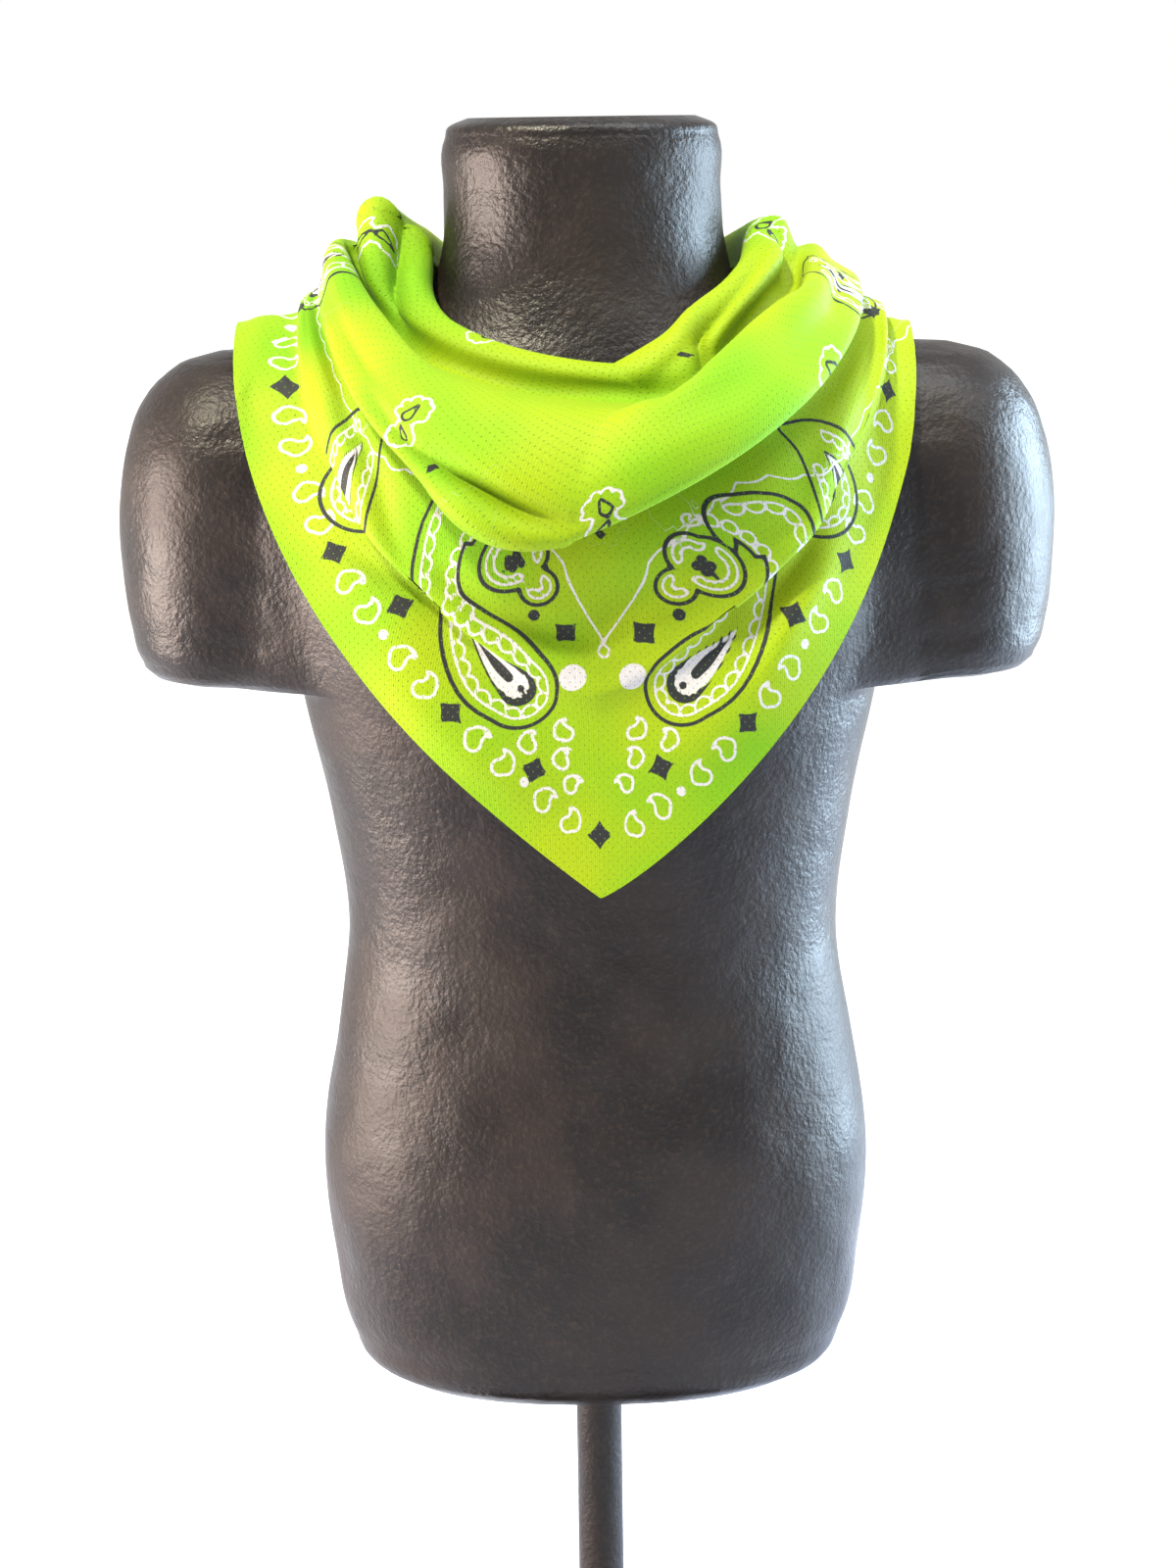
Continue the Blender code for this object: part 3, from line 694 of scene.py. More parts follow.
@dataclass
class TorsoForm:
    """A limbless torso with shoulder stumps, standing on its pole.

    Crowding draws its rays together at the sides, where the stumps are. Its ripple is at its full height from
    foot_calm up to top_calm, where it starts to fade. Contact_heights are the first and last height and the
    count of the rings that the cloth is kept clear of.
    """

    sides: int = 192
    rings: int = 150
    crowding: float = 0.55
    join_power: float = 18.0
    miss_fade: float = 0.5
    ripple: float = 0.00035
    foot_calm: float = 0.01
    top_calm: float = 0.65
    top_rim: float = 0.010
    rim_rings: int = 8
    contact_heights: tuple[float, float, int] = (0.30, 0.664, 110)
    contact_batches: int = 40
    torso: tuple[TorsoLevel, ...] = (
        TorsoLevel(0.000, 0.112, 0.072, 0.082, 2.3),
        TorsoLevel(0.007, 0.124, 0.082, 0.092, 2.3),
        TorsoLevel(0.025, 0.134, 0.090, 0.100, 2.3),
        TorsoLevel(0.070, 0.143, 0.098, 0.109, 2.3),
        TorsoLevel(0.125, 0.147, 0.102, 0.112, 2.3),
        TorsoLevel(0.190, 0.138, 0.098, 0.098, 2.3),
        TorsoLevel(0.250, 0.130, 0.096, 0.088, 2.3),
        TorsoLevel(0.310, 0.137, 0.102, 0.090, 2.3),
        TorsoLevel(0.370, 0.149, 0.113, 0.099, 2.3),
        TorsoLevel(0.420, 0.158, 0.121, 0.106, 2.4),
        TorsoLevel(0.465, 0.165, 0.116, 0.108, 2.4),
        TorsoLevel(0.500, 0.168, 0.101, 0.103, 2.3),
        TorsoLevel(0.524, 0.158, 0.086, 0.094, 2.2),
        TorsoLevel(0.541, 0.134, 0.077, 0.084, 2.1),
        TorsoLevel(0.557, 0.104, 0.070, 0.076, 2.0),
        TorsoLevel(0.576, 0.082, 0.063, 0.070, 2.0),
        TorsoLevel(0.600, 0.073, 0.058, 0.067, 2.0),
        TorsoLevel(0.630, 0.071, 0.057, 0.065, 2.0),
        TorsoLevel(0.656, 0.070, 0.056, 0.064, 2.0),
        TorsoLevel(0.663, 0.066, 0.052, 0.060, 2.0),
        TorsoLevel(0.666, 0.058, 0.045, 0.052, 2.0),
    )
    stumps: tuple[StumpLevel, ...] = (
        StumpLevel(0.381, 0.186, 0.030, 0.034),
        StumpLevel(0.384, 0.186, 0.041, 0.045),
        StumpLevel(0.392, 0.186, 0.048, 0.053),
        StumpLevel(0.410, 0.187, 0.052, 0.058),
        StumpLevel(0.440, 0.187, 0.055, 0.063),
        StumpLevel(0.475, 0.186, 0.056, 0.065),
        StumpLevel(0.505, 0.183, 0.054, 0.062),
        StumpLevel(0.525, 0.179, 0.050, 0.053),
        StumpLevel(0.539, 0.174, 0.043, 0.041),
        StumpLevel(0.547, 0.168, 0.036, 0.028),
        StumpLevel(0.551, 0.160, 0.028, 0.015),
    )

    @staticmethod
    def at_heights(levels: tuple[Any, ...], heights: Array) -> dict[str, Array]:
        """The sizes of a table of levels at other heights.

        Args:
            levels: the table, its first size being the height.
            heights: where the sizes are wanted.

        Returns:
            A column for each size, by its name.
        """
        names = list(vars(levels[0]))[1:]
        rows = np.array([[getattr(level, name) for name in names] for level in levels])
        found = spline(rows, np.array([level.height for level in levels]), heights)
        return {name: found[:, k, None] for k, name in enumerate(names)}

    def surface(self, heights: Array) -> Array:
        """The form's rings, as distances from its axis along rays.

        The torso's distance is a superellipse's. A stump's is that of the far side of its ellipse, or where a
        ray misses it a value that fades with the miss. The two join by a power mean.

        Args:
            heights: of the rings above the form's lower edge.

        Returns:
            Points by ring and by ray.
        """
        even = np.linspace(0, 2 * math.pi, self.sides, endpoint=False)
        angles = even - self.crowding / 2 * np.sin(2 * even)
        across, deep = np.cos(angles), np.sin(angles)
        torso = self.at_heights(self.torso, heights)
        depth = np.where(deep < 0, torso["front"], torso["back"])
        power = torso["squareness"]
        powers = np.abs(across / torso["half_width"]) ** power + np.abs(deep / depth) ** power
        reach = powers ** (-1 / power)
        lowest, highest = self.stumps[0].height, self.stumps[-1].height
        stump = self.at_heights(self.stumps, heights.clip(lowest, highest))
        squares = (across / stump["half_width"]) ** 2 + (deep / stump["half_depth"]) ** 2
        nearest = stump["middle"] * np.abs(across) / stump["half_width"] ** 2 / squares
        past = nearest**2 - ((stump["middle"] / stump["half_width"]) ** 2 - 1) / squares
        fade = np.exp(past.clip(max=0) / stump["middle"] ** 2 / self.miss_fade)
        far = (nearest + np.sqrt(past.clip(0))) * fade
        joined = (reach**self.join_power + far**self.join_power) ** (1 / self.join_power)
        has_stump = ((heights >= lowest) & (heights <= highest))[:, None]
        reach = np.where(has_stump, joined, reach)
        high = np.broadcast_to(heights[:, None], reach.shape) + STAND_HEIGHT
        return np.stack([reach * across, reach * deep, high], axis=2)

    def heights(self) -> Array:
        """The rings' heights: even ones, both tables' own levels, and closer ones where the top rounds off.

        Returns:
            The heights, rising.
        """
        levels = [level.height for level in self.torso + self.stumps]
        top = self.torso[-1].height
        rim = top - self.top_rim * (1 - np.cos(np.linspace(0, math.pi / 2, self.rim_rings)))
        even = np.linspace(0, top, self.rings)
        return np.unique(np.round(np.concatenate([levels, even, rim]), 4))

    def build(self, finish: bpy.types.Material) -> bpy.types.Object:
        """The form, its skin faintly uneven like cast metal.

        Two products of crossed sine waves, a few centimetres long, move it in and out, but not at its ends.

        Args:
            finish: the bronze.

        Returns:
            The form.
        """
        heights = self.heights()
        points = self.surface(heights)
        x, y, z = (points[..., k] for k in range(3))
        long_wave = np.sin(41 * x + 23 * z) * np.sin(37 * y - 29 * z)
        short_wave = np.sin(83 * z + 61 * x) * np.sin(71 * y + 17)
        wave = long_wave + short_wave
        top = self.torso[-1].height
        inside = smooth_step(heights, 0.0, self.foot_calm) * (1 - smooth_step(heights, self.top_calm, top))
        length = np.linalg.norm(points[..., :2], axis=2, keepdims=True)
        points[..., :2] *= 1 - self.ripple * (1 + wave * inside[:, None])[..., None] / length
        made = piece("torso_form_cast", tube_mesh("torso_form_cast", points), finish)
        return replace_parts(made, "torso_form")

    def contact(self, points: Array) -> tuple[Array, Array]:
        """The nearest places of the form's upper part.

        Args:
            points: a grid of points.

        Returns:
            The nearest place to each point, and the outward normal there.
        """
        around = self.surface(np.linspace(*self.contact_heights))
        around = np.concatenate([around, around[:, :1]], axis=1)
        normals = outward(around)
        places, facing = around[:, :-1].reshape(-1, 3), normals[:, :-1].reshape(-1, 3)
        flat = points.reshape(-1, 3)
        squares = (places**2).sum(1)
        batches = np.array_split(flat, self.contact_batches)
        chosen = np.concatenate([(squares - 2 * batch @ places.T).argmin(1) for batch in batches])
        return places[chosen].reshape(points.shape), facing[chosen].reshape(points.shape)


# ---------------------------------------------------------------- the cloth


@dataclass(frozen=True)
class Cut:
    """The flat cut of one stretch of the cloth, in metres and square metres."""

    width: float
    length: float
    area: float


@dataclass(frozen=True)
class ClothLine:
    """One line of the cloth round the neck.

    middle is where it crosses the front, off to one side. side, front and back are how far it stands from the
    neck's axis, skew is how much further that is on the right than half way, and the z sizes are its heights
    there above the form's lower edge. Seen from the front it is pointed in the middle where its dip is 1 and
    round where it is 2, and it turns up sooner the smaller its rise. plan squares it off as seen from above.
    lift raises it between the middle and the shoulder, sag lowers it between the shoulder and the nape, and
    points sets how far on the next line is.
    """

    middle: float
    side: float
    skew: float
    front: float
    back: float
    side_z: float
    front_z: float
    back_z: float
    left_dip: float
    left_rise: float
    right_dip: float
    right_rise: float
    plan: float
    lift: float
    sag: float
    points: int


@dataclass(frozen=True)
class Fold:
    """A soft fold along a path over the cloth.

    Each step of its path is a share of the way from the middle to the knot, left being negative, and a place
    down the cloth in points. Height is how far it stands out from the cloth, less than 0 where it goes in. It
    falls off beside the path by a bell curve, to about a third at one width.
    """

    path: tuple[tuple[float, float], ...]
    width: float
    height: float


# The lines from the cloth's inner edge down to its hem. The columns are ClothLine's sizes in their order.
LINE_SIZES = {
    "inner_edge": (.006, .081, 0, .083, .078, .591, .537, .567, 1.6, .32, 1.1, .5, 2.0, 0, 0, 2),
    "crown": (.014, .087, 0, .089, .083, .611, .547, .5765, 1.4, .3, .98, .5, 2.0, 0, 0, 2),
    "crown_outside": (.02, .104, 0, .098, .089, .616, .543, .579, 1.5, .32, 1.05, .5, 2.0, 0, 0, 2),
    "collar_crease": (.034, .1125, 0, .107, .094, .601, .531, .5775, 1.7, .36, 1.2, .55, 2.0, 0, .001, 2),
    "belly": (.012, .121, .001, .137, .0985, .602, .527, .5745, 1.9, .5, 1.2, .55, 2.3, 0, .002, 3),
    "roll_front": (-.004, .129, .003, .159, .1015, .5935, .499, .57, 1.7, .57, 1.12, .57, 2.5, 0, .003, 3),
    "roll_lip": (-.011, .1365, .008, .156, .103, .585, .47, .5655, 1.6, .58, 1.05, .58, 2.7, 0, .004, 2),
    "roll_under": (-.01, .1365, .007, .139, .1035, .58, .486, .562, 1.6, .58, 1.1, .58, 2.4, .012, .005, 2),
    "roll_tuck": (-.008, .1385, .006, .13, .104, .577, .481, .5595, 1.5, .58, 1.15, .58, 2.3, .008, .006, 3),
    "second_crest": (0, .144, .0075, .134, .1045, .5745, .45, .5555, 1.6, .6, 1.4, .6, 2.7, .003, .007, 3),
    "second_lip": (
        .003, .1482, .009, .132, .1045, .5715, .397, .5505, 1.5, .58, 1.3, .58, 3.3, -.004, .008, 2),
    "second_under": (.003, .1475, .008, .13, .104, .5675, .389, .549, 1.5, .58, 1.3, .58, 2.9, .02, .0085, 2),
    "second_tuck": (.004, .1515, .007, .128, .104, .5645, .379, .547, 1.4, .58, 1.3, .58, 2.5, .023, .009, 3),
    "flap": (.004, .162, .001, .127, .103, .5632, .336, .543, 1.1, .53, 1.25, .53, 2.8, .004, .01, 3),
    "hem": (.004, .1725, 0, .126, .101, .56, .29, .5375, 1.0, .515, 1.18, .515, 3.1, 0, .01, 0),
}
LINES = {name: ClothLine(*sizes) for name, sizes in LINE_SIZES.items()}

# The soft folds, which the solids have too: path, width and height of each.
FOLDS = {
    "front_crease": Fold(((-.32, 5.8), (-.17, 5.7), (-.03, 5.2), (.06, 6.2), (.11, 7.6)), .007, -.006),
    "right_neck_crease": Fold(((.00, 5.0), (.1, 4.3), (.22, 3.1), (.33, 2.5)), .005, -.0025),
    "right_inner_ridge": Fold(((.07, 7.4), (.12, 5.0), (.24, 3.8), (.36, 3.2)), .006, .005),
    "right_trough": Fold(((.07, 7.9), (.125, 6.4), (.195, 5.5), (.29, 5.1), (.4, 5.0)), .008, -.01),
    "right_roll_ridge": Fold(
        ((.02, 8.8), (.147, 7.9), (.235, 7.3), (.345, 8.2), (.46, 9.9), (.56, 11.2)), .009, .007),
    "right_collar_crease": Fold(((.54, 3.0), (.48, 4.4), (.41, 6.0), (.34, 7.6)), .006, -.006),
    "right_dimple": Fold(((.43, 10.7), (.48, 10.8), (.55, 11.8)), .006, -.005),
    "right_valley": Fold(((.53, 19.5), (.4, 19.5), (.26, 19.8)), .012, -.004),
    "left_inner_edge": Fold(((-.66, .4), (-.52, .7), (-.36, .9)), .012, .009),
    "left_pleat": Fold(((-.7, 1.8), (-.55, 2.1), (-.468, 2.8), (-.38, 4.4)), .0045, -.006),
    "left_collar_ridge": Fold(((-.66, 3.6), (-.54, 3.9), (-.44, 4.6)), .008, .006),
    "left_roll_edge": Fold(((-.6, 8.2), (-.5, 7.5), (-.42, 7.3), (-.34, 7.6), (-.24, 8.2)), .01, .008),
    "left_collar_trough": Fold(((-.62, 6.0), (-.5, 5.7), (-.4, 5.6), (-.31, 5.9)), .01, -.01),
    "pucker_hollow": Fold(
        ((-.19, 11.9), (-.125, 12.2), (-.08, 12.5), (-.02, 12.8), (.02, 12.9)), .007, -.007),
    "pucker_lip": Fold(((-.19, 13.7), (-.11, 13.9), (-.05, 14.0), (.02, 13.7)), .007, .005),
    "left_roll_dent": Fold(((-.46, 10.6), (-.36, 10.4), (-.26, 9.6)), .016, -.005),
    "chest_dent": Fold(((-.1, 22.5), (.02, 22.0), (.13, 22.5)), .022, -.004),
    "left_flap_swell": Fold(((-.32, 31.0), (-.2, 31.4), (-.08, 31.0)), .022, .004),
    "right_flap_swell": Fold(((.1, 31.0), (.22, 31.4), (.36, 31.0)), .022, .005),
    "left_wrap_fold": Fold(((-.95, 21.0), (-.8, 19.0), (-.64, 16.0)), .009, -.003),
    "right_wrap_fold": Fold(((.64, 18.0), (.8, 16.0), (.95, 14.0)), .009, -.003),
}

# Finer creases, added to the folds. One that is named like a fold takes its place.
CREASES = {
    "right_inner_ridge": Fold(((.1, 4.2), (.14, 3.0), (.22, 1.9), (.32, 1.3), (.4, 1.2)), .0055, .0035),
    "left_pleat_line": Fold(
        ((-.6, 2.1), (-.535, 2.5), (-.458, 3.0), (-.392, 4.1), (-.385, 5.1)), .0045, -.0035),
    "left_strip_ridge": Fold(((-.62, 1.2), (-.52, 1.4), (-.43, 2.2), (-.36, 3.2)), .006, .002),
    "left_puff": Fold(((-.6, 3.4), (-.52, 4.2), (-.45, 4.9), (-.38, 5.6)), .008, .0045),
    "right_strip_line": Fold(
        ((.075, 8.2), (.09, 6.2), (.155, 4.2), (.242, 3.5), (.42, 3.1)), .0042, -.0075),
    "right_strip_ridge": Fold(((.1, 7.2), (.13, 5.2), (.21, 4.5), (.335, 4.3), (.45, 4.4)), .0055, .006),
    "pucker_deep": Fold(
        ((-.3, 12.1), (-.22, 12.5), (-.15, 12.5), (-.1, 12.3), (-.02, 12.5)), .0046, -.0065),
    "pucker_nose": Fold(((-.16, 13.3), (-.11, 13.6), (-.06, 13.6), (-.01, 13.1)), .006, .0055),
    "left_roll_hollow": Fold(((-.42, 10.0), (-.307, 11.0), (-.223, 11.4), (-.145, 11.4)), .01, -.003),
    "right_roll_hollow": Fold(((.107, 9.3), (.183, 9.6), (.292, 10.2), (.44, 11.7)), .012, -.003),
    "chest_hollow": Fold(
        ((-.2, 22.4), (-.115, 22.9), (-.057, 22.8), (-.005, 22.5), (.11, 21.8)), .009, -.005),
    "chest_ridge": Fold(
        ((-.165, 23.6), (-.115, 23.5), (-.06, 23.4), (-.007, 23.1), (.1, 22.9)), .006, .002),
    "right_flap_ridge": Fold(
        ((.5, 21.6), (.42, 21.4), (.335, 22.0), (.275, 23.4), (.195, 28.6)), .0075, .0025),
    "right_flap_groove": Fold(
        ((.54, 22.6), (.46, 22.6), (.375, 23.2), (.315, 24.8), (.22, 29.4)), .007, -.0018),
    "right_low_groove": Fold(
        ((.34, 29.2), (.285, 29.5), (.245, 29.5), (.218, 29.7), (.183, 30.1)), .006, -.0035),
    "right_low_ridge": Fold(((.338, 30.3), (.3, 30.4), (.26, 30.4), (.23, 30.6), (.198, 31.1)), .008, .003),
    "left_flap_ridge": Fold(
        ((-.57, 20.2), (-.46, 20.6), (-.375, 21.8), (-.315, 22.4), (-.22, 25.5)), .0065, .003),
    "left_flap_groove": Fold(
        ((-.55, 19.4), (-.44, 19.6), (-.345, 20.9), (-.285, 21.4), (-.185, 25.0)), .006, -.002),
    "left_low_groove": Fold(((-.34, 30.4), (-.287, 29.6), (-.24, 28.9), (-.18, 28.6)), .006, -.0035),
    "left_low_ridge": Fold(((-.26, 33.0), (-.18, 32.9), (-.122, 32.4), (-.05, 31.6)), .012, .003),
}


@dataclass
class Bandana:
    """The cloth round the neck: a wide front that rolls over and falls to its point, and two wraps behind.

    Reach widens or narrows the lines on each side, and raised lifts or lowers them. Plan_behind is the power
    of their superellipses behind the neck, of the first line and the last. From gather_from on, the cloth is
    drawn in towards the knot, at last to gathered_to of its height, and its pleats rise and, by pleat_fade,
    nearly die away again.
    """

    wall: float = 0.0012
    clearance: float = 0.0035
    front_share: float = 0.62
    front_rows: int = 457
    wrap_rows: int = 85
    columns: int = 169
    half_points: int = 200
    behind_points: int = 100
    knot_middle: Place = KNOT_MIDDLE
    knot_side: float = 0.0223
    reach: dict[Side, float] = field(default_factory=lambda: {Side.LEFT: 1.03, Side.RIGHT: 0.965})
    raised: dict[Side, float] = field(default_factory=lambda: {Side.LEFT: 0.004, Side.RIGHT: -0.002})
    plan_behind: tuple[float, float] = (2.0, 1.45)
    middle_fade: float = 1.5
    gather_from: float = 0.72
    gathered_to: float = 0.55
    pleats: int = 3
    pleat_depth: float = 0.0036
    pleat_fade: float = 1.1
    path_steps: int = 24
    path_margin: float = 0.12
    end_power: float = 0.7
    layer_points: float = 3.5
    spacing_steps: int = 400
    spacing_sections: tuple[float, ...] = (-0.4, -0.2, 0.0, 0.2, 0.4)
    lift_rows: int = 6
    lift_columns: int = 4
    lift_spread: int = 3
    inner_every: int = 2

    def half_line(self, line: ClothLine, plan_behind: float, side: Side) -> Array:
        """One line from the middle in front to the knot, on one side.

        Seen from the front its first part climbs by 1 - (1 - across^dip)^rise, and seen from above it is a
        superellipse. Behind the neck it is another one, and goes on to the back's height.

        Args:
            line: its sizes.
            plan_behind: the superellipse's power behind the neck.
            side: which side.

        Returns:
            Its points.
        """
        shapes = {Side.LEFT: (line.left_dip, line.left_rise), Side.RIGHT: (line.right_dip, line.right_rise)}
        dip, rise = shapes[side]
        reach = (line.side + side.value * line.skew) * self.reach[side]
        side_z = line.side_z + self.raised[side]
        across = 1 - (1 - np.linspace(0, 1, self.half_points)) ** 2
        x = side.value * reach * across + line.middle * (1 - across) ** self.middle_fade
        y = -line.front * (1 - across**line.plan) ** (1 / line.plan)
        z = line.front_z + (side_z - line.front_z) * (1 - (1 - across**dip) ** rise)
        z += line.lift * (PEAK * across**2 * (1 - across)) ** 2
        last_turn = math.acos((self.knot_side / reach) ** (plan_behind / 2))
        turn = np.linspace(0, last_turn, self.behind_points)[1:]
        behind_x = side.value * reach * np.cos(turn) ** (2 / plan_behind)
        behind_y = line.back * np.sin(turn) ** (2 / plan_behind)
        behind_z = side_z + (line.back_z - side_z) * np.sin(turn) ** 2 - line.sag * np.sin(2 * turn) ** 2
        whole = [np.concatenate(pair) for pair in ((x, behind_x), (y, behind_y), (z, behind_z))]
        return np.stack(whole, axis=1) + FORM_FOOT

    @staticmethod
    def along(points: Array, shares: Array) -> Array:
        """Points at those shares of a line's length."""
        run = np.concatenate([[0], np.cumsum(np.linalg.norm(np.diff(points, axis=0), axis=1))])
        return np.stack([np.interp(shares * run[-1], run, points[:, k]) for k in range(3)], axis=1)

    @staticmethod
    def line_places() -> Array:
        """The place of each line down a section, counted in points."""
        return np.concatenate([[0], np.cumsum([line.points for line in LINES.values()][:-1])])

    def smooth(self, shares: Array, places: Array) -> Array:
        """The cloth without its folds: a smooth curve down through the lines at each share of the way round.

        Args:
            shares: 0 in front, 1 or -1 at the knot.
            places: how far down, counted in points.

        Returns:
            Points by share and by place.
        """
        lines = []
        for plan_behind, line in zip(np.linspace(*self.plan_behind, len(LINES)), LINES.values()):
            halves = (self.half_line(line, plan_behind, side) for side in Side)
            left, right = (self.along(half, np.abs(shares)) for half in halves)
            lines.append(np.where(shares[:, None] < 0, left, right))
        grid = spline(np.stack(lines), self.line_places(), places).transpose(1, 0, 2)
        return self.gathered(grid, np.abs(shares), places)

    def gathered(self, grid: Array, way: Array, places: Array) -> Array:
        """The grid drawn in towards the knot's middle near it, with pleats that run out from the knot.

        Args:
            grid: the cloth's points.
            way: how far its rows are from the middle, 1 being at the knot.
            places: where its columns are.

        Returns:
            The moved points.
        """
        near = smooth_step(way, self.gather_from, 1.0)[:, None]
        middle = np.array(self.knot_middle) + FORM_FOOT
        drawn = grid + (middle - grid) * (0, 1, 1) * ((1 - self.gathered_to) * near)[..., None]
        waves = np.sin(2 * math.pi * self.pleats * places / self.line_places()[-1])
        depth = waves * self.pleat_depth * near * (self.pleat_fade - near)
        return drawn + outward(drawn) * (0, 1, 1) * depth[..., None]

    def folded(self, grid: Array, shares: Array, places: Array, folds: dict[str, Fold]) -> Array:
        """The grid with soft folds: each moves the points near its path out, or in, by a bell curve.

        A fold's strength rises and falls along it by a sine, and it moves only places about as far down the
        cloth as its path is, so that it doesn't move the layer behind.

        Args:
            grid: the cloth's points.
            shares: where its rows are.
            places: where its columns are.
            folds: the folds.

        Returns:
            The moved points.
        """
        moved = np.zeros(grid.shape[:2])
        steps, margin = self.path_steps, self.path_margin
        for fold in folds.values():
            corners = np.array(fold.path)
            way = np.linspace(0, len(corners) - 1, steps)
            path_share, path_place = spline(corners, np.arange(len(corners)), way).T
            path = self.smooth(path_share, path_place)[range(steps), range(steps)]
            rows = (shares > path_share.min() - margin) & (shares < path_share.max() + margin)
            start, step = path[:-1], np.diff(path, axis=0)
            away = grid[rows, :, None, :] - start
            on = ((away * step).sum(3) / (step**2).sum(1)).clip(0, 1)
            apart = np.linalg.norm(away - on[..., None] * step, axis=3)
            strength = np.sin(math.pi * (np.arange(steps - 1) + on + 0.5) / steps) ** self.end_power
            level = path_place[:-1] + on * np.diff(path_place)
            same_layer = np.exp(-(((places[None, :, None] - level) / self.layer_points) ** 4))
            bell = strength * np.exp(-((apart / fold.width) ** 2)) * same_layer
            moved[rows] += fold.height * bell.max(axis=2)
        return grid + outward(grid) * moved[:, :, None]

    def even_places(self) -> Array:
        """Places down the cloth that stand evenly apart, as a mean over a few of its sections.

        Returns:
            The places, counted in points.
        """
        fine = np.linspace(0, self.line_places()[-1], self.spacing_steps)
        sections = self.smooth(np.array(self.spacing_sections), fine)
        steps = np.linalg.norm(np.diff(sections, axis=1), axis=2).mean(0)
        run = np.concatenate([[0], np.cumsum(steps)])
        return np.interp(np.linspace(0, run[-1], self.columns), run, fine)

    def lifted(self, grid: Array, form: TorsoForm) -> Array:
        """The grid moved out where it is nearer the form than the clearance, and softly beside there.

        The nearest places are found for some of the rows and columns, and carried to the rest.

        Args:
            grid: the cloth's points.
            form: what it lies on.

        Returns:
            The moved points.
        """
        coarse = grid[:: self.lift_rows, :: self.lift_columns]
        near, facing = form.contact(coarse)
        short = self.clearance - ((coarse - near) * facing).sum(axis=2)
        widened = refined(spread(short.clip(0), self.lift_spread), grid.shape[:2])
        near, facing = (refined(found, grid.shape[:2]) for found in (near, facing))
        facing /= np.linalg.norm(facing, axis=2, keepdims=True)
        short = self.clearance - ((grid - near) * facing).sum(axis=2)
        return grid + facing * np.maximum(short, widened)[..., None]

    def flat_places(self, grid: Array) -> Array:
        """Where each point was on the flat cloth, in metres from the point of the bandana.

        Each section is laid down as a straight line up from the hem, as long as it is. Its distance from the
        last one is taken to change evenly along it, and that change is the angle between the two.

        Args:
            grid: the cloth's points.

        Returns:
            Flat places by row and column, x to the right and y up.
        """
        steps = np.linalg.norm(np.diff(grid, axis=1), axis=2)
        below = np.concatenate([np.cumsum(steps[:, ::-1], axis=1)[:, ::-1], np.zeros((len(grid), 1))], axis=1)
        up = -np.gradient(grid, axis=1)
        up /= np.linalg.norm(up, axis=2, keepdims=True)
        over = np.diff(grid, axis=0)
        climb = (over * up[:-1]).sum(2)
        apart = np.sqrt(((over**2).sum(2) - climb**2).clip(0))
        height = below[:-1]
        centred = height - height.mean(1, keepdims=True)
        slope = (centred * apart).sum(1) / (centred**2).sum(1)
        foot = apart.mean(1) - slope * height.mean(1)
        middle = len(grid) // 2
        lean = np.concatenate([[0], -np.cumsum(slope)])
        lean -= lean[middle]
        to_right = np.stack([np.cos(lean), np.sin(lean)], axis=1)
        upward = np.stack([-np.sin(lean), np.cos(lean)], axis=1)
        hem_steps = foot[:, None] * to_right[:-1] + climb[:, -1:] * upward[:-1]
        hem = np.concatenate([[(0, 0)], np.cumsum(hem_steps, axis=0)])
        hem -= hem[middle]
        return hem[:, None] + below[..., None] * upward[:, None]

    def build(self, form: TorsoForm, finish: bpy.types.Material) -> list[bpy.types.Object]:
        """The cloth in its three stretches, cut from one grid so that they meet without a step.

        Args:
            form: what it is worn on.
            finish: the jersey.

        Returns:
            The front, the left wrap and the right wrap.
        """
        side = np.linspace(self.front_share, 1, self.wrap_rows)
        middle = np.linspace(-self.front_share, self.front_share, self.front_rows)
        shares = np.concatenate([-side[:0:-1], middle, side[1:]])
        places = self.even_places()
        smooth = self.smooth(shares, places)
        flat = self.flat_places(self.lifted(self.folded(smooth, shares, places, FOLDS), form))
        inner = self.lifted(self.folded(smooth, shares, places, FOLDS | CREASES), form)
        normals = outward(inner)
        outer = inner + normals * self.wall
        layers = Print(flat).layers()
        last = self.wrap_rows - 1
        stretches = {
            "bandana_front": slice(last, len(shares) - last),
            "bandana_left_wrap": slice(0, last + 1),
            "bandana_right_wrap": slice(len(shares) - last - 1, len(shares)),
        }
        made = []
        for node, rows in stretches.items():
            name = node + "_cloth"
            mesh = cloth_mesh(name, inner[rows], outer[rows], normals[rows], self.inner_every)
            put_cloth_map(mesh, flat[rows], self.inner_every)
            for ink, values in layers.items():
                put_values(mesh, ink.value, values[rows])
            made.append(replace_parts(piece(name, mesh, finish), node))
        return made


# ---------------------------------------------------------------- the print


class Motif(Enum):
    """The motifs of the print, each with about how far from its middle it reaches, in millimetres.

    No two of these are alike, because members of one value would be one motif.
    """

    STAR = 16.0
    SMALL_STAR = 9.0
    DOT = 8.0
    LARGE_DOT = 12.0
    BLACK_DOT = 8.1
    DROP = 14.0
    TWIN_DROPS = 28.0
    COMMA_PAISLEY = 58.0
    CURLED_PAISLEY = 110.0


@dataclass(frozen=True)
class Spot:
    """One motif on the cloth: its place in millimetres, turn in degrees, whether flipped, and scale."""

    motif: Motif
    x: float
    y: float
    turn: float = 0.0
    flip: bool = False
    scale: float = 1.0


def disc(x: Array, y: Array, across: float, up: float, radius: float) -> Array:
    """Signed distance to a disc."""
    return np.hypot(x - across, y - up) - radius


def joined(*parts: Array) -> Array:
    """Signed distance to shapes laid together."""
    return np.minimum.reduce(parts)


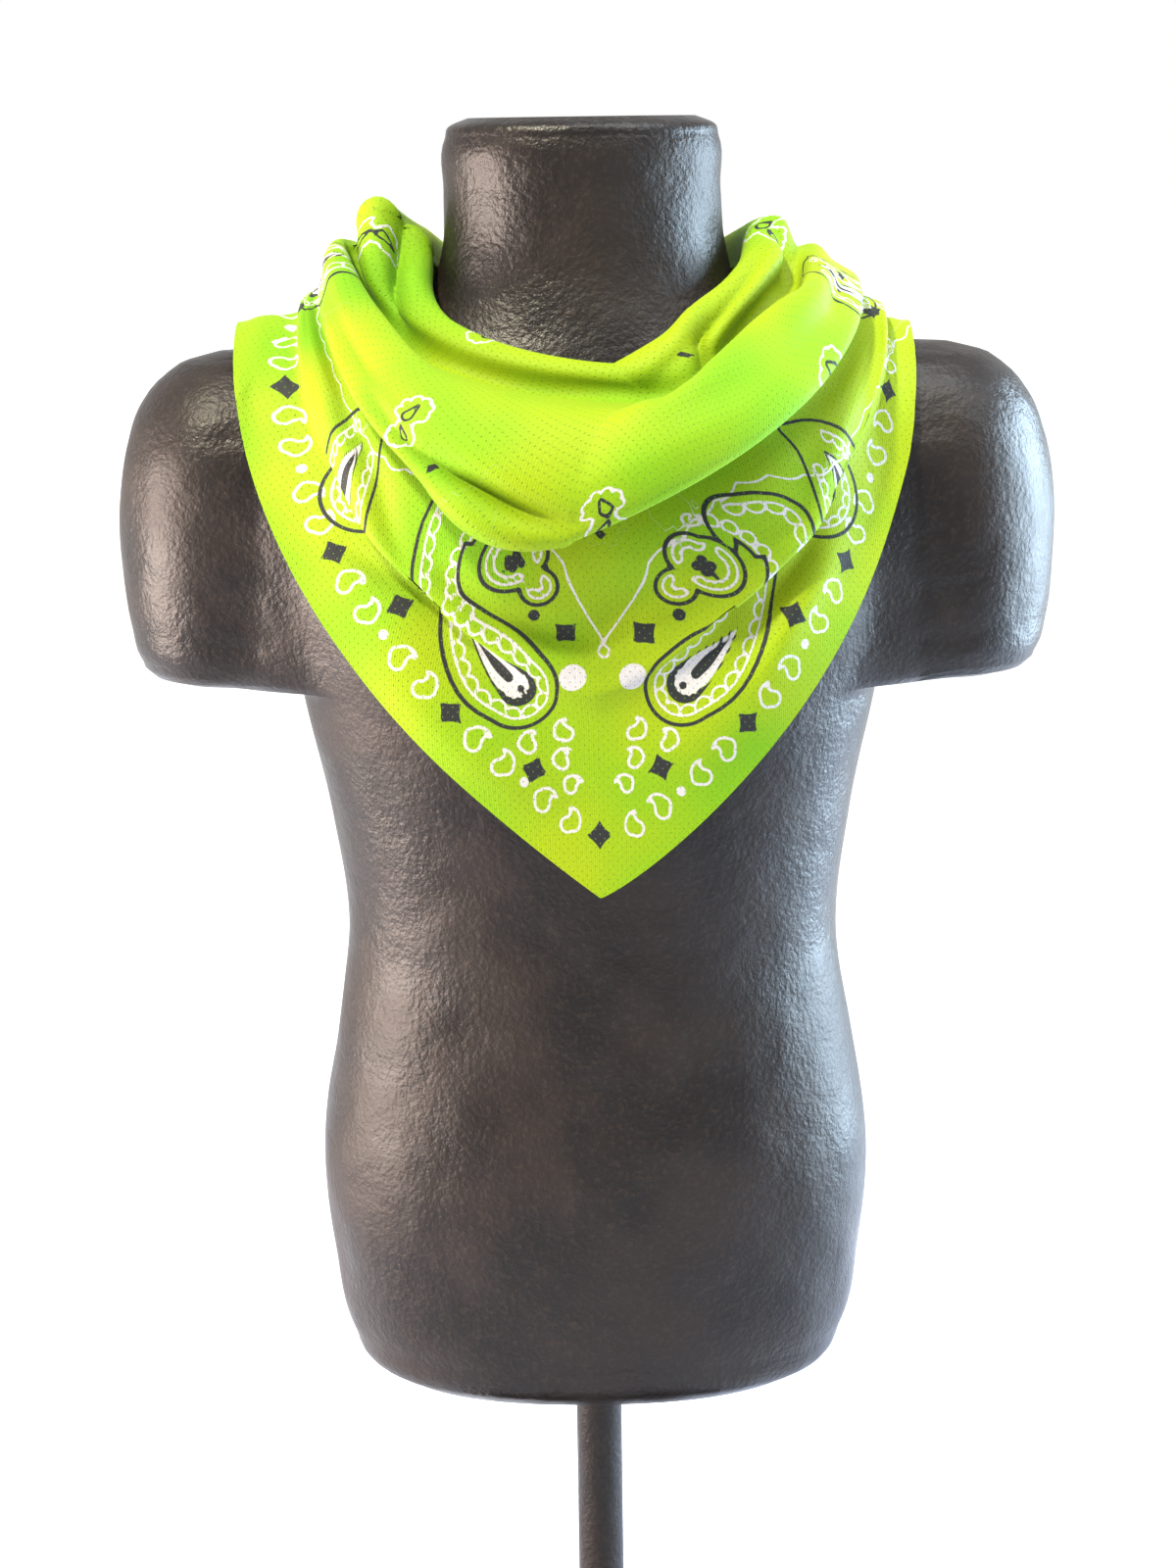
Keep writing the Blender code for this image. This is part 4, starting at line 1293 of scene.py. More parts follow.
def beads(x: Array, y: Array, middles: Array, radius: float) -> Array:
    """Signed distance to a row of discs of one radius."""
    return joined(*(disc(x, y, across, up, radius) for across, up in middles))


def arc(middle: tuple[float, float], radius: float, first: float, last: float, count: int) -> Array:
    """Points on an arc, its angles in degrees."""
    angles = np.radians(np.linspace(first, last, count))
    return np.stack([np.cos(angles), np.sin(angles)], axis=1) * radius + middle


def evenly(points: Array, gap: float) -> Array:
    """Points at about an even gap along a line.

    Args:
        points: the line's corners.
        gap: the gap wanted.

    Returns:
        The points.
    """
    run = np.concatenate([[0], np.cumsum(np.linalg.norm(np.diff(points, axis=0), axis=1))])
    steps = np.linspace(0, run[-1], round(run[-1] / gap) + 1)
    return np.stack([np.interp(steps, run, points[:, k]) for k in range(2)], axis=1)


def tapered(x: Array, y: Array, stroke: Array) -> Array:
    """Signed distance to a brush stroke: the least, over its segments, of the distance less the radius there.

    Args:
        x: across, in millimetres.
        y: up, in millimetres.
        stroke: across, up and radius at each of its points.

    Returns:
        The signed distance, negative inside.
    """
    start, step = stroke[:-1], np.diff(stroke, axis=0)
    away = np.stack([x, y], axis=-1)[..., None, :] - start[:, :2]
    t = ((away * step[:, :2]).sum(-1) / (step[:, :2] ** 2).sum(-1)).clip(0, 1)
    gap = np.linalg.norm(away - t[..., None] * step[:, :2], axis=-1)
    return (gap - start[:, 2] - t * step[:, 2]).min(-1)


def smoothed(stroke: tuple[tuple[float, float, float], ...], steps: int = 16) -> Array:
    """A brush stroke's points along the smooth curve through a few of them."""
    rows = np.array(stroke)
    return spline(rows, np.arange(len(rows)), np.linspace(0, len(rows) - 1, steps))


def rim_of(stroke: Array, inset: float, side: int) -> Array:
    """The line that runs a little inside one edge of a brush stroke: 1 is its left, -1 its right."""
    way = unit(np.gradient(stroke[:, :2], axis=0))
    return stroke[:, :2] + side * np.stack([-way[:, 1], way[:, 0]], axis=1) * (stroke[:, 2:] - inset)


@dataclass(frozen=True)
class Motifs:
    """How each motif is drawn, in millimetres about its own middle, as signed distances.

    A line that is finer than the rest has its distance stretched, so that it is inked in a narrower band.
    """

    star_size: float = 7.7
    star_hollow: float = 1.62
    small_star: float = 3.6
    dot: float = 2.6
    large_dot: float = 6.5
    black_dot: float = 3.0
    thin: float = 1.30
    thinner: float = 1.5
    arch_gap: float = 2.02

    def draw(self, motif: Motif, x: Array, y: Array) -> dict[Ink, Array]:
        """One motif.

        Args:
            motif: which one.
            x: across from its middle.
            y: up from its middle.

        Returns:
            The signed distance of each ink that it has.
        """
        makers = {
            Motif.STAR: lambda: {Ink.BLACK_FILL: self.star(x, y, self.star_size)},
            Motif.SMALL_STAR: lambda: {Ink.BLACK_FILL: self.star(x, y, self.small_star)},
            Motif.DOT: lambda: {Ink.WHITE_FILL: disc(x, y, 0, 0, self.dot)},
            Motif.LARGE_DOT: lambda: {Ink.WHITE_FILL: disc(x, y, 0, 0, self.large_dot)},
            Motif.BLACK_DOT: lambda: {Ink.BLACK_FILL: disc(x, y, 0, 0, self.black_dot)},
            Motif.DROP: lambda: {Ink.WHITE_LINE: self.curled_drop(x, y)},
            Motif.TWIN_DROPS: lambda: self.twin_drops(x, y),
            Motif.COMMA_PAISLEY: lambda: self.comma_paisley(x, y),
            Motif.CURLED_PAISLEY: lambda: self.curled_paisley(x, y),
        }
        return makers[motif]()

    def star(self, x: Array, y: Array, size: float) -> Array:
        """A four-pointed star, its hollow sides arcs about the corners of a square.

        Args:
            x: across from its middle.
            y: up from its middle.
            size: how far its points reach.

        Returns:
            Its signed distance.
        """
        corner = self.star_hollow * size
        radius = math.hypot(corner - size, corner)
        hollow = radius - np.hypot(np.abs(x) - corner, np.abs(y) - corner)
        return np.maximum(hollow, np.hypot(x, y) - size)

    @staticmethod
    def curled_drop(x: Array, y: Array) -> Array:
        """A small round drop with its tip curled up on one side."""
        tail = smoothed(((1.2, -1.4, 4.4), (2.8, 1.4, 2.9), (2.6, 4.4, 1.3), (0.6, 6.6, 0.3)), 7)
        return joined(disc(x, y, -2.0, -1.9, 3.9), tapered(x, y, tail))

    def twin_drops(self, x: Array, y: Array) -> dict[Ink, Array]:
        """Two small outlined drops in a scalloped ring.

        Args:
            x: across from their middle.
            y: up from their middle.

        Returns:
            The signed distance of each ink.
        """
        around = np.concatenate([arc((0.0, 5.0), 6.3, -10, 190, 6), arc((0.0, -6.0), 6.0, 190, 350, 6)])
        ring = joined(beads(x, y, around, 2.5), disc(x, y, 0, 5.0, 6.5), disc(x, y, 0, -6.0, 6.2))
        upper = tapered(x, y, np.array([(1.2, 3.0, 2.7), (-0.5, 8.6, 0.6)]))
        lower = tapered(x, y, np.array([(-1.4, -7.6, 2.2), (1.6, -3.2, 0.6)]))
        return {Ink.WHITE_LINE: ring * self.thin, Ink.BLACK_LINE: joined(upper, lower) * self.thinner}

    @staticmethod
    def eye(x: Array, y: Array, scale: float) -> dict[Ink, Array]:
        """A paisley's eye: a black drop, white inside with a toothed rim, and a black drop and dot in it.

        Args:
            x: across from the middle of its round end.
            y: up from there.
            scale: its size.

        Returns:
            The signed distance of each ink.
        """
        x, y = x / scale, y / scale
        stroke = smoothed(((0, 0, 13.0), (12, 11, 10.0), (24, 22, 5.5), (34, 33, 1.4)))
        shell = tapered(x, y, stroke)
        toothed = np.hypot(x - 1.6, y - 1.4) - 9.4 - 0.6 * np.cos(13 * np.arctan2(y - 1.4, x - 1.6))
        white = joined(toothed, tapered(x, y, (stroke - (0, 0, 1.3))[3:]))
        tear = tapered(x, y, smoothed(((6.5, 5.5, 3.5), (14, 13, 3.8), (22, 21, 2.0), (29, 28, 0.4))))
        dot = disc(x * 0.9, y, -1.6, -2.0, 2.5)
        black = joined(np.maximum(shell, -white), tear, dot)
        return {Ink.WHITE_FILL: white * scale, Ink.BLACK_FILL: black * scale}

    def arches(self, x: Array, y: Array, shape: Array, line: Array, inset: float, radius: float) -> Array:
        """A row of arches that stand on a line a little inside a shape's edge.

        Args:
            x: across.
            y: up.
            shape: the shape's signed distance.
            line: the line that their middles are on.
            inset: how far inside the edge they are cut off.
            radius: of each.

        Returns:
            Their signed distance.
        """
        middles = evenly(line, radius * self.arch_gap)
        return np.maximum(shape + inset, beads(x, y, middles, radius)) * self.thin

    def comma_paisley(self, x: Array, y: Array) -> dict[Ink, Array]:
        """A plain paisley: a comma with a row of arches inside its edge, round an eye.

        Args:
            x: across from its middle.
            y: up from its middle.

        Returns:
            The signed distance of each ink.
        """
        stroke = smoothed(((-14, -10, 25), (4, 6, 21), (20, 24, 13), (26, 42, 3)))
        shape = tapered(x, y, stroke)
        line = np.concatenate([rim_of(stroke, 5, 1)[8::-1], arc((-14, -10), 20, 140, 310, 24),
                               rim_of(stroke, 5, -1)[:10]])
        inks = self.eye(x + 13, y + 10, 0.85)
        inks[Ink.WHITE_LINE] = self.arches(x, y, shape, line, 5, 4.2)
        inks[Ink.BLACK_LINE] = shape
        return inks

    def curled_paisley(self, x: Array, y: Array) -> dict[Ink, Array]:
        """A paisley that rises from its round foot, arches over and curls into a three-lobed head.

        A crescent, left between two circles and closed at its tip, parts the head from the neck. Arches stand
        inside the edge of the foot, neck and head, petals ring the crescent, and a clover lies in the head.

        Args:
            x: across from the line up from the bandana's point.
            y: up from the point.

        Returns:
            The signed distance of each ink.
        """
        stroke = smoothed(((41, 107, 20), (54, 118, 21.5), (69, 137, 17), (79, 158, 12), (80, 181, 12),
                           (72, 202, 15), (57, 197, 15)), 30)
        body = tapered(x, y, stroke)
        neck_ring, head_ring = (48.0, 170.0), (44.5, 170.5)
        head = joined(disc(x, y, *head_ring, 14.5), disc(x, y, 36, 174, 10.5), disc(x, y, 31, 157, 9.0))
        crescent = np.maximum(disc(x, y, *neck_ring, 19.5), -joined(head, disc(x, y, 43, 185, 11.5)))
        shape = joined(np.maximum(body, -crescent), head)
        line = np.concatenate([rim_of(stroke, 5, 1)[14::-1], arc((41, 107), 15, 140, 310, 24),
                               rim_of(stroke, 5, -1)])
        edge = self.arches(x, y, shape, line, 4.6, 4.7)
        crown = np.concatenate([arc(head_ring, 10.9, 60, -110, 8), arc((31, 157), 5.2, 300, 150, 4),
                                arc((36, 174), 7.0, 200, 70, 4)])
        inner = np.maximum(head + 3.2, beads(x, y, crown, 3.5)) * self.thin
        petals = beads(x, y, arc(neck_ring, 24.2, 118, -48, 10), 3.3)
        petals = np.maximum(petals, -disc(x, y, *neck_ring, 21.8)) * self.thin
        inks = self.eye(x - 42, y - 108, 0.80)
        clover = joined(beads(x, y, arc((42, 170), 3.1, 20, 290, 4), 2.4),
                        tapered(x, y, np.array([(42.0, 170.0, 1.5), (48.0, 165.5, 0.9)])))
        inks[Ink.BLACK_FILL] = joined(inks[Ink.BLACK_FILL], clover)
        inks[Ink.WHITE_LINE] = joined(edge, inner, petals)
        inks[Ink.BLACK_LINE] = shape
        return inks


@dataclass
class Print:
    """The print: stars, dots and drops along each hem, paisleys inside them, and a plainer middle.

    It is the same on both sides of the line up from the bandana's point, which leans a little as worn. Its
    sizes are in millimetres, flat holds places in metres, and each spot is named by how far it is from that
    line and above the point or, in the border, along and in from the hem.
    """

    flat: Array
    period: float = 100.0
    periods: int = 6
    first: float = 18.0
    row_depth: float = 23.0
    star_reach: float = 18.0
    dot_reach: float = 14.5
    corner_room: float = 40.0
    right_shift: float = 4.0
    lean: float = 0.085
    lean_from: float = 70.0
    contour: tuple[tuple[float, float], ...] = (
        (0, 128), (9, 143), (16, 158), (20, 172), (29, 180), (37, 194), (45, 204), (55, 219), (70, 228),
        (86, 229), (101, 232), (118, 242), (140, 258), (200, 330), (260, 420))
    contour_thin: float = 1.45
    wave_depth: float = 2.4
    wave_length: float = 17.0
    search_across: float = 2.2
    search_up: float = 2.4
    motifs: Motifs = field(default_factory=Motifs)
    on_the_line: tuple[Spot, ...] = (
        Spot(Motif.STAR, 0, 32),
        Spot(Motif.SMALL_STAR, 0, 182),
        Spot(Motif.TWIN_DROPS, 0, 240, 20),
        Spot(Motif.SMALL_STAR, 0, 366),
    )
    middle: tuple[Spot, ...] = (
        Spot(Motif.LARGE_DOT, 14, 112),
        Spot(Motif.STAR, 18, 133, 45),
        Spot(Motif.BLACK_DOT, 33, 143),
        Spot(Motif.DROP, 18, 85, 10, scale=0.85),
        Spot(Motif.DROP, 18, 71, 50, scale=0.8),
        Spot(Motif.DROP, 13, 58, 85, scale=0.75),
        Spot(Motif.DROP, 35, 80, 40, scale=0.85),
        Spot(Motif.STAR, 32, 66, 20),
        Spot(Motif.CURLED_PAISLEY, 0, 0),
        Spot(Motif.TWIN_DROPS, 95, 302, 15),
        Spot(Motif.TWIN_DROPS, 100, 410, -20),
        Spot(Motif.TWIN_DROPS, 180, 420, 30),
        Spot(Motif.TWIN_DROPS, 45, 455, 10),
        Spot(Motif.SMALL_STAR, 78, 278),
        Spot(Motif.SMALL_STAR, 130, 350),
    )

    def layers(self) -> dict[Ink, Array]:
        """The whole print.

        Returns:
            The signed distance of each ink at each place, in millimetres.
        """
        x, y = (self.flat[..., k] * 1000 for k in range(2))
        layers = {ink: np.full(x.shape, NO_PRINT) for ink in Ink}
        along, deep = self.border_places(x, y)
        deep = deep + self.right_shift * smooth_step(x, 20, 50)
        x = x - self.lean * (y - self.lean_from).clip(0)
        for spot in self.on_the_line:
            self.lay(layers, x, y, spot)
        for spot in self.middle:
            self.lay(layers, np.abs(x), y, spot)
        for spot in self.border():
            self.lay(layers, along, deep, spot)
        self.outline(layers, np.abs(x), y)
        return layers

    def border(self) -> list[Spot]:
        """The border's motifs: stars and dots in turn, a drop on each side of each, and two comma paisleys.

        Returns:
            A spot for each, by how far it is along the hem and in from it.
        """
        spots = []
        for k in range(self.periods):
            star = self.first + self.period * k
            dot = star + self.period / 2
            spots += [Spot(Motif.STAR, star, self.row_depth)] if k else []
            spots.append(Spot(Motif.DOT, dot, self.row_depth))
            spots += [Spot(Motif.STAR, dot + 8, self.row_depth + 13, 10)] if k in (1, 3) else []
            for middle, reach in ((star, self.star_reach), (dot, self.dot_reach)):
                spots.append(Spot(Motif.DROP, middle + reach, self.row_depth, 45, True))
                has_room = middle > self.corner_room
                spots += [Spot(Motif.DROP, middle - reach, self.row_depth, 45)] if has_room else []
        return spots + [Spot(Motif.COMMA_PAISLEY, 252, 66, 25), Spot(Motif.COMMA_PAISLEY, 400, 70, 25)]

    def lay(self, layers: dict[Ink, Array], x: Array, y: Array, spot: Spot) -> None:
        """Lays one motif on the layers, worked out only at the points within a few times its reach.

        Args:
            layers: the print so far.
            x: each point's place across, in the plane that the spot is named in.
            y: its place up.
            spot: the motif and its place.
        """
        reach = spot.motif.value
        near = np.abs(x - spot.x) < self.search_across * reach
        near &= np.abs(y - spot.y) < self.search_up * reach
        across, up = (x[near] - spot.x) / spot.scale, (y[near] - spot.y) / spot.scale
        across = -across if spot.flip else across
        turn = math.radians(spot.turn)
        turned = across * math.cos(turn) + up * math.sin(turn), up * math.cos(turn) - across * math.sin(turn)
        for ink, values in self.motifs.draw(spot.motif, *turned).items():
            layers[ink][near] = np.minimum(layers[ink][near], values * spot.scale)

    def outline(self, layers: dict[Ink, Array], x: Array, y: Array) -> None:
        """Lays the thin wavy line round the plain middle, with a small loop at its foot.

        Its distance is the height over or under the curve through the contour, times the cosine of its slope.

        Args:
            layers: the print so far.
            x: each point's place across, from the line up from the bandana's point.
            y: its place up.
        """
        corners = np.array(self.contour)
        run = np.linspace(0, corners[-1, 0], 261)
        height = spline(corners[:, 1], corners[:, 0], run)
        slope = np.interp(x, run, np.gradient(height, run))
        bumps = np.abs(np.sin(math.pi * (x + 0.6 * y) / self.wave_length))
        waves = self.wave_depth * bumps * smooth_step(x, 14, 24)
        inside = (np.interp(x, run, height) - y) / np.sqrt(1 + slope**2) - waves
        line = joined(inside, disc(x, y, 0, 124, 2.6)) * self.contour_thin
        nearer = np.abs(line) < np.abs(layers[Ink.WHITE_LINE])
        layers[Ink.WHITE_LINE] = np.where(nearer, line, layers[Ink.WHITE_LINE])

    @staticmethod
    def border_places(x: Array, y: Array) -> tuple[Array, Array]:
        """How far each point is along its own hem, and how far in from the hem.

        Args:
            x: each point's place across, by row and column, the last column being the hem.
            y: its place up.

        Returns:
            The way along the hem from the bandana's point, and the way in, square to the hem.
        """
        hem = np.stack([x[:, -1], y[:, -1]], axis=1)
        middle = len(hem) // 2
        step = np.gradient(hem, axis=0)
        length = np.linalg.norm(step, axis=1)
        run = np.cumsum(length)
        run = np.abs(run - run[middle])
        direction = step / length[:, None]
        outward_way = np.where(np.arange(len(hem)) < middle, -1.0, 1.0)
        direction *= outward_way[:, None]
        away = np.stack([x, y], axis=-1) - hem[:, None]
        along = run[:, None] + (away * direction[:, None]).sum(-1)
        deep = np.abs(away[..., 0] * direction[:, None, 1] - away[..., 1] * direction[:, None, 0])
        return along, deep


# ---------------------------------------------------------------- the knot and its tails


@dataclass
class Knot:
    """The knot at the nape: a ridged barrel of cloth along X, with a band crossed over its middle."""

    middle: Place = KNOT_MIDDLE
    width: float = 0.044
    depth: float = 0.034
    height: float = 0.042
    ridges: int = 4
    ridge_share: float = 0.10
    twist: float = 1.9
    fine_ridges: int = 11
    fine_share: float = 0.025
    cut: float = 0.05
    fullness: float = 0.42
    sides: int = 120
    barrel_rings: int = 60
    band_sides: int = 48
    band_half_width: float = 0.0085
    band_thickness: float = 0.0030
    band_slant: float = 0.42
    band_proud: float = 1.02
    band_pleat: float = 0.22
    band_even: float = 0.82
    band_uneven: float = 0.18

    def barrel(self) -> Array:
        """The barrel: ellipses whose size swells along it by a sine, with two sets of slanted ridges.

        Returns:
            Its points, by ring and by place round it.
        """
        angles = np.linspace(0, 2 * math.pi, self.sides, endpoint=False)[None, :]
        way = np.linspace(0, 1, self.barrel_rings)[:, None]
        full = np.sin(math.pi * (self.cut + (1 - 2 * self.cut) * way)) ** self.fullness
        turned = angles - self.twist * (way - 0.5)
        ridge = 1 + self.ridge_share * np.cos(self.ridges * turned)
        ridge = ridge + self.fine_share * np.cos(self.fine_ridges * turned + 1.3 + 2 * way)
        x = np.broadcast_to((way - 0.5) * self.width, ridge.shape)
        y = self.depth / 2 * full * ridge * np.cos(angles)
        z = self.height / 2 * full * ridge * np.sin(angles)
        return np.stack([x, y, z], axis=2) + self.middle + FORM_FOOT

    def band(self) -> Array:
        """The band: a flattened, pleated section carried round the barrel on a slant.

        Returns:
            Its points, by ring and by place round it.
        """
        round_way = np.linspace(0, 2 * math.pi, self.sides, endpoint=False)[:, None]
        about = np.linspace(0, 2 * math.pi, self.band_sides, endpoint=False)[None, :]
        across = np.cos(about)
        pleats = self.band_pleat * np.cos(3.2 * math.pi * across + 0.8) * np.abs(np.sin(about))
        proud = self.band_thickness * (np.sin(about) + pleats)
        width = self.band_half_width * (self.band_even + self.band_uneven * np.cos(2 * round_way + 0.6))
        x = width * across + self.band_slant * self.height / 2 * np.sin(round_way)
        y = (self.depth / 2 * self.band_proud + proud) * np.cos(round_way)
        z = (self.height / 2 * self.band_proud + proud) * np.sin(round_way)
        return np.stack([x, y, z], axis=2) + self.middle + FORM_FOOT

    def build(self, finish: bpy.types.Material) -> list[bpy.types.Object]:
        """The barrel, which stands for the whole knot, and its band, each mapped as seen from behind.

        Args:
            finish: the jersey.

        Returns:
            The barrel and the band.
        """
        shapes = (("knot_barrel", tube_mesh("knot_barrel", self.barrel())),
                  ("knot_band", ring_mesh("knot_band", self.band())))
        made = []
        for name, mesh in shapes:
            places = np.zeros(len(mesh.vertices) * 3, np.float32)
            mesh.vertices.foreach_get("co", places)
            flat = places.reshape(-1, 3)[:, [0, 2]]
            mesh.uv_layers.new(name="cloth").data.foreach_set("uv", flat[corner_points(mesh)].ravel())
            made.append(piece(name, mesh, finish))
        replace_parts(made[0], "knot")
        return made


@dataclass
class Tail:
    """One free corner of the cloth, hanging from the knot to its point."""

    node: str
    start: Place
    end: Place
    curl: float
    ripple: float
    start_width: float = 0.014
    full_width: float = 0.036
    fullest_at: float = 0.42
    tip: float = 0.002
    flare: float = 0.7
    corner: int = 6
    wall: float = 0.0012
    pleat: float = 0.0022
    pleat_count: float = 2.5
    pleat_fade: float = 0.45
    set_back: float = 0.0012
    inner_every: int = 2
    sections: int = 97
    points: int = 61

    def grid(self) -> tuple[Array, Array]:
        """The tail's middle layer and its flat places.

        It widens below the knot and runs to its point, by a soft least of a rising and a falling power. Curl
        bends it across its width, ripple waves its length, and pleats run down from the knot and die away.

        Returns:
            Points by section and across, and flat places.
        """
        t = np.linspace(0, 1, self.sections)[:, None]
        start, end = (np.array(place) + FORM_FOOT for place in (self.start, self.end))
        flare = (t / self.fullest_at).clip(1e-3) ** self.flare
        taper = ((1 - t) / (1 - self.fullest_at)).clip(1e-3)
        lesser = (flare**-self.corner + taper**-self.corner) ** (-1 / self.corner)
        width = self.start_width * (1 - t) + self.full_width * lesser + self.tip
        across = np.linspace(-0.5, 0.5, self.points)[None, :]
        fall = (end - start) / np.linalg.norm(end - start)
        sideways = np.cross(fall, (0, -1, 0))
        grid = start + (end - start) * t[..., None] + (width * across)[..., None] * sideways
        grid[..., 1] += self.curl * width * across**2 + self.ripple * np.sin(2 * math.pi * t) * (1 + across)
        fading = np.exp(-(t / self.pleat_fade) ** 2)
        pleats = np.sin(2 * math.pi * self.pleat_count * across + 0.7) * fading * self.pleat
        grid[..., 1] += pleats + self.set_back
        flat = np.stack([width * across, -np.linalg.norm(end - start) * t + 0 * across], axis=-1)
        return grid, flat

    def build(self, finish: bpy.types.Material) -> bpy.types.Object:
        """The tail, with a plain raw edge.

        Args:
            finish: the jersey.

        Returns:
            The tail.
        """
        name = self.node + "_cloth"
        grid, flat = self.grid()
        normals = outward(grid)
        half_wall = normals * self.wall / 2
        mesh = cloth_mesh(name, grid - half_wall, grid + half_wall, normals, self.inner_every)
        put_cloth_map(mesh, flat, self.inner_every)
        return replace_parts(piece(name, mesh, finish), self.node)


# ---------------------------------------------------------------- the stand


@dataclass
class Stand:
    """A round pole in a collar, on a round base.

    The base's edge is base_rise lower than its height, and its top rises by boss_rise from there, in rings at
    boss_shares: the first and last share of its radius, and their count.
    """

    base_radius: float = 0.165
    base_height: float = 0.016
    base_foot_round: float = 0.002
    base_round: float = 0.004
    base_rise: float = 0.0005
    boss_rise: float = 0.0004
    boss_shares: tuple[float, float, int] = (0.94, 0.12, 14)
    pole_radius: float = 0.0125
    collar_radius: float = 0.024
    collar_height: float = 0.010
    collar_round: float = 0.003
    pole_step: float = 0.0005
    gap: float = 0.0003
    round_points: int = 9
    sides: int = 128
    sharp_from: float = math.radians(35)

    def turned(self, name: str, profile: list[tuple[float, float]]) -> bpy.types.Mesh:
        """A turned solid: its profile carried round Z.

        Args:
            name: its name.
            profile: radius and height, from the bottom up.

        Returns:
            The mesh.
        """
        angles = np.linspace(0, 2 * math.pi, self.sides, endpoint=False)
        radius, height = np.array(profile).T
        ring = np.stack([np.cos(angles), np.sin(angles)], axis=1)
        flat = radius[:, None, None] * ring
        high = np.broadcast_to(height[:, None, None], flat.shape[:2] + (1,))
        mesh = tube_mesh(name, np.concatenate([flat, high], axis=2))
        mesh.set_sharp_from_angle(angle=self.sharp_from)
        return mesh

    def rounding(self, radius: float, height: float, size: float, way: int) -> list[tuple[float, float]]:
        """A quarter circle of a profile.

        Args:
            radius: the radius at its middle.
            height: the height at its middle.
            size: its own radius.
            way: 1 where it turns inwards as it rises, -1 where it turns outwards.

        Returns:
            Its points, from the bottom up.
        """
        turn = np.linspace(0, math.pi / 2, self.round_points)
        turn = turn if way > 0 else turn - math.pi / 2
        return [(radius + size * math.cos(a), height + size * math.sin(a)) for a in turn]

    def build(self, finish: bpy.types.Material) -> None:
        """The base with its rounded edges, rising a little to its middle, and the pole in its collar.

        Args:
            finish: the bronze.
        """
        rim = self.base_height - self.base_rise
        radius, foot_round, top_round = self.base_radius, self.base_foot_round, self.base_round
        low = self.rounding(radius - foot_round, foot_round, foot_round, -1)
        high = self.rounding(radius - top_round, rim - top_round, top_round, 1)
        shares = np.linspace(*self.boss_shares)
        top = [(radius * share, rim + self.boss_rise * (1 - share)) for share in shares]
        foot = self.base_height + self.gap
        shoulder = foot + self.collar_height
        neck = shoulder + self.collar_round + self.pole_step
        collar = [(self.collar_radius, foot), (self.collar_radius, shoulder)]
        collar += self.rounding(self.collar_radius - self.collar_round, shoulder, self.collar_round, 1)
        shaft = [(self.pole_radius, neck), (self.pole_radius, STAND_HEIGHT - self.gap)]
        for node, profile in (("stand_base", low + high + top), ("stand_pole", collar + shaft)):
            name = node + "_turned"
            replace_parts(piece(name, self.turned(name, profile), finish), node)


# ---------------------------------------------------------------- the studio


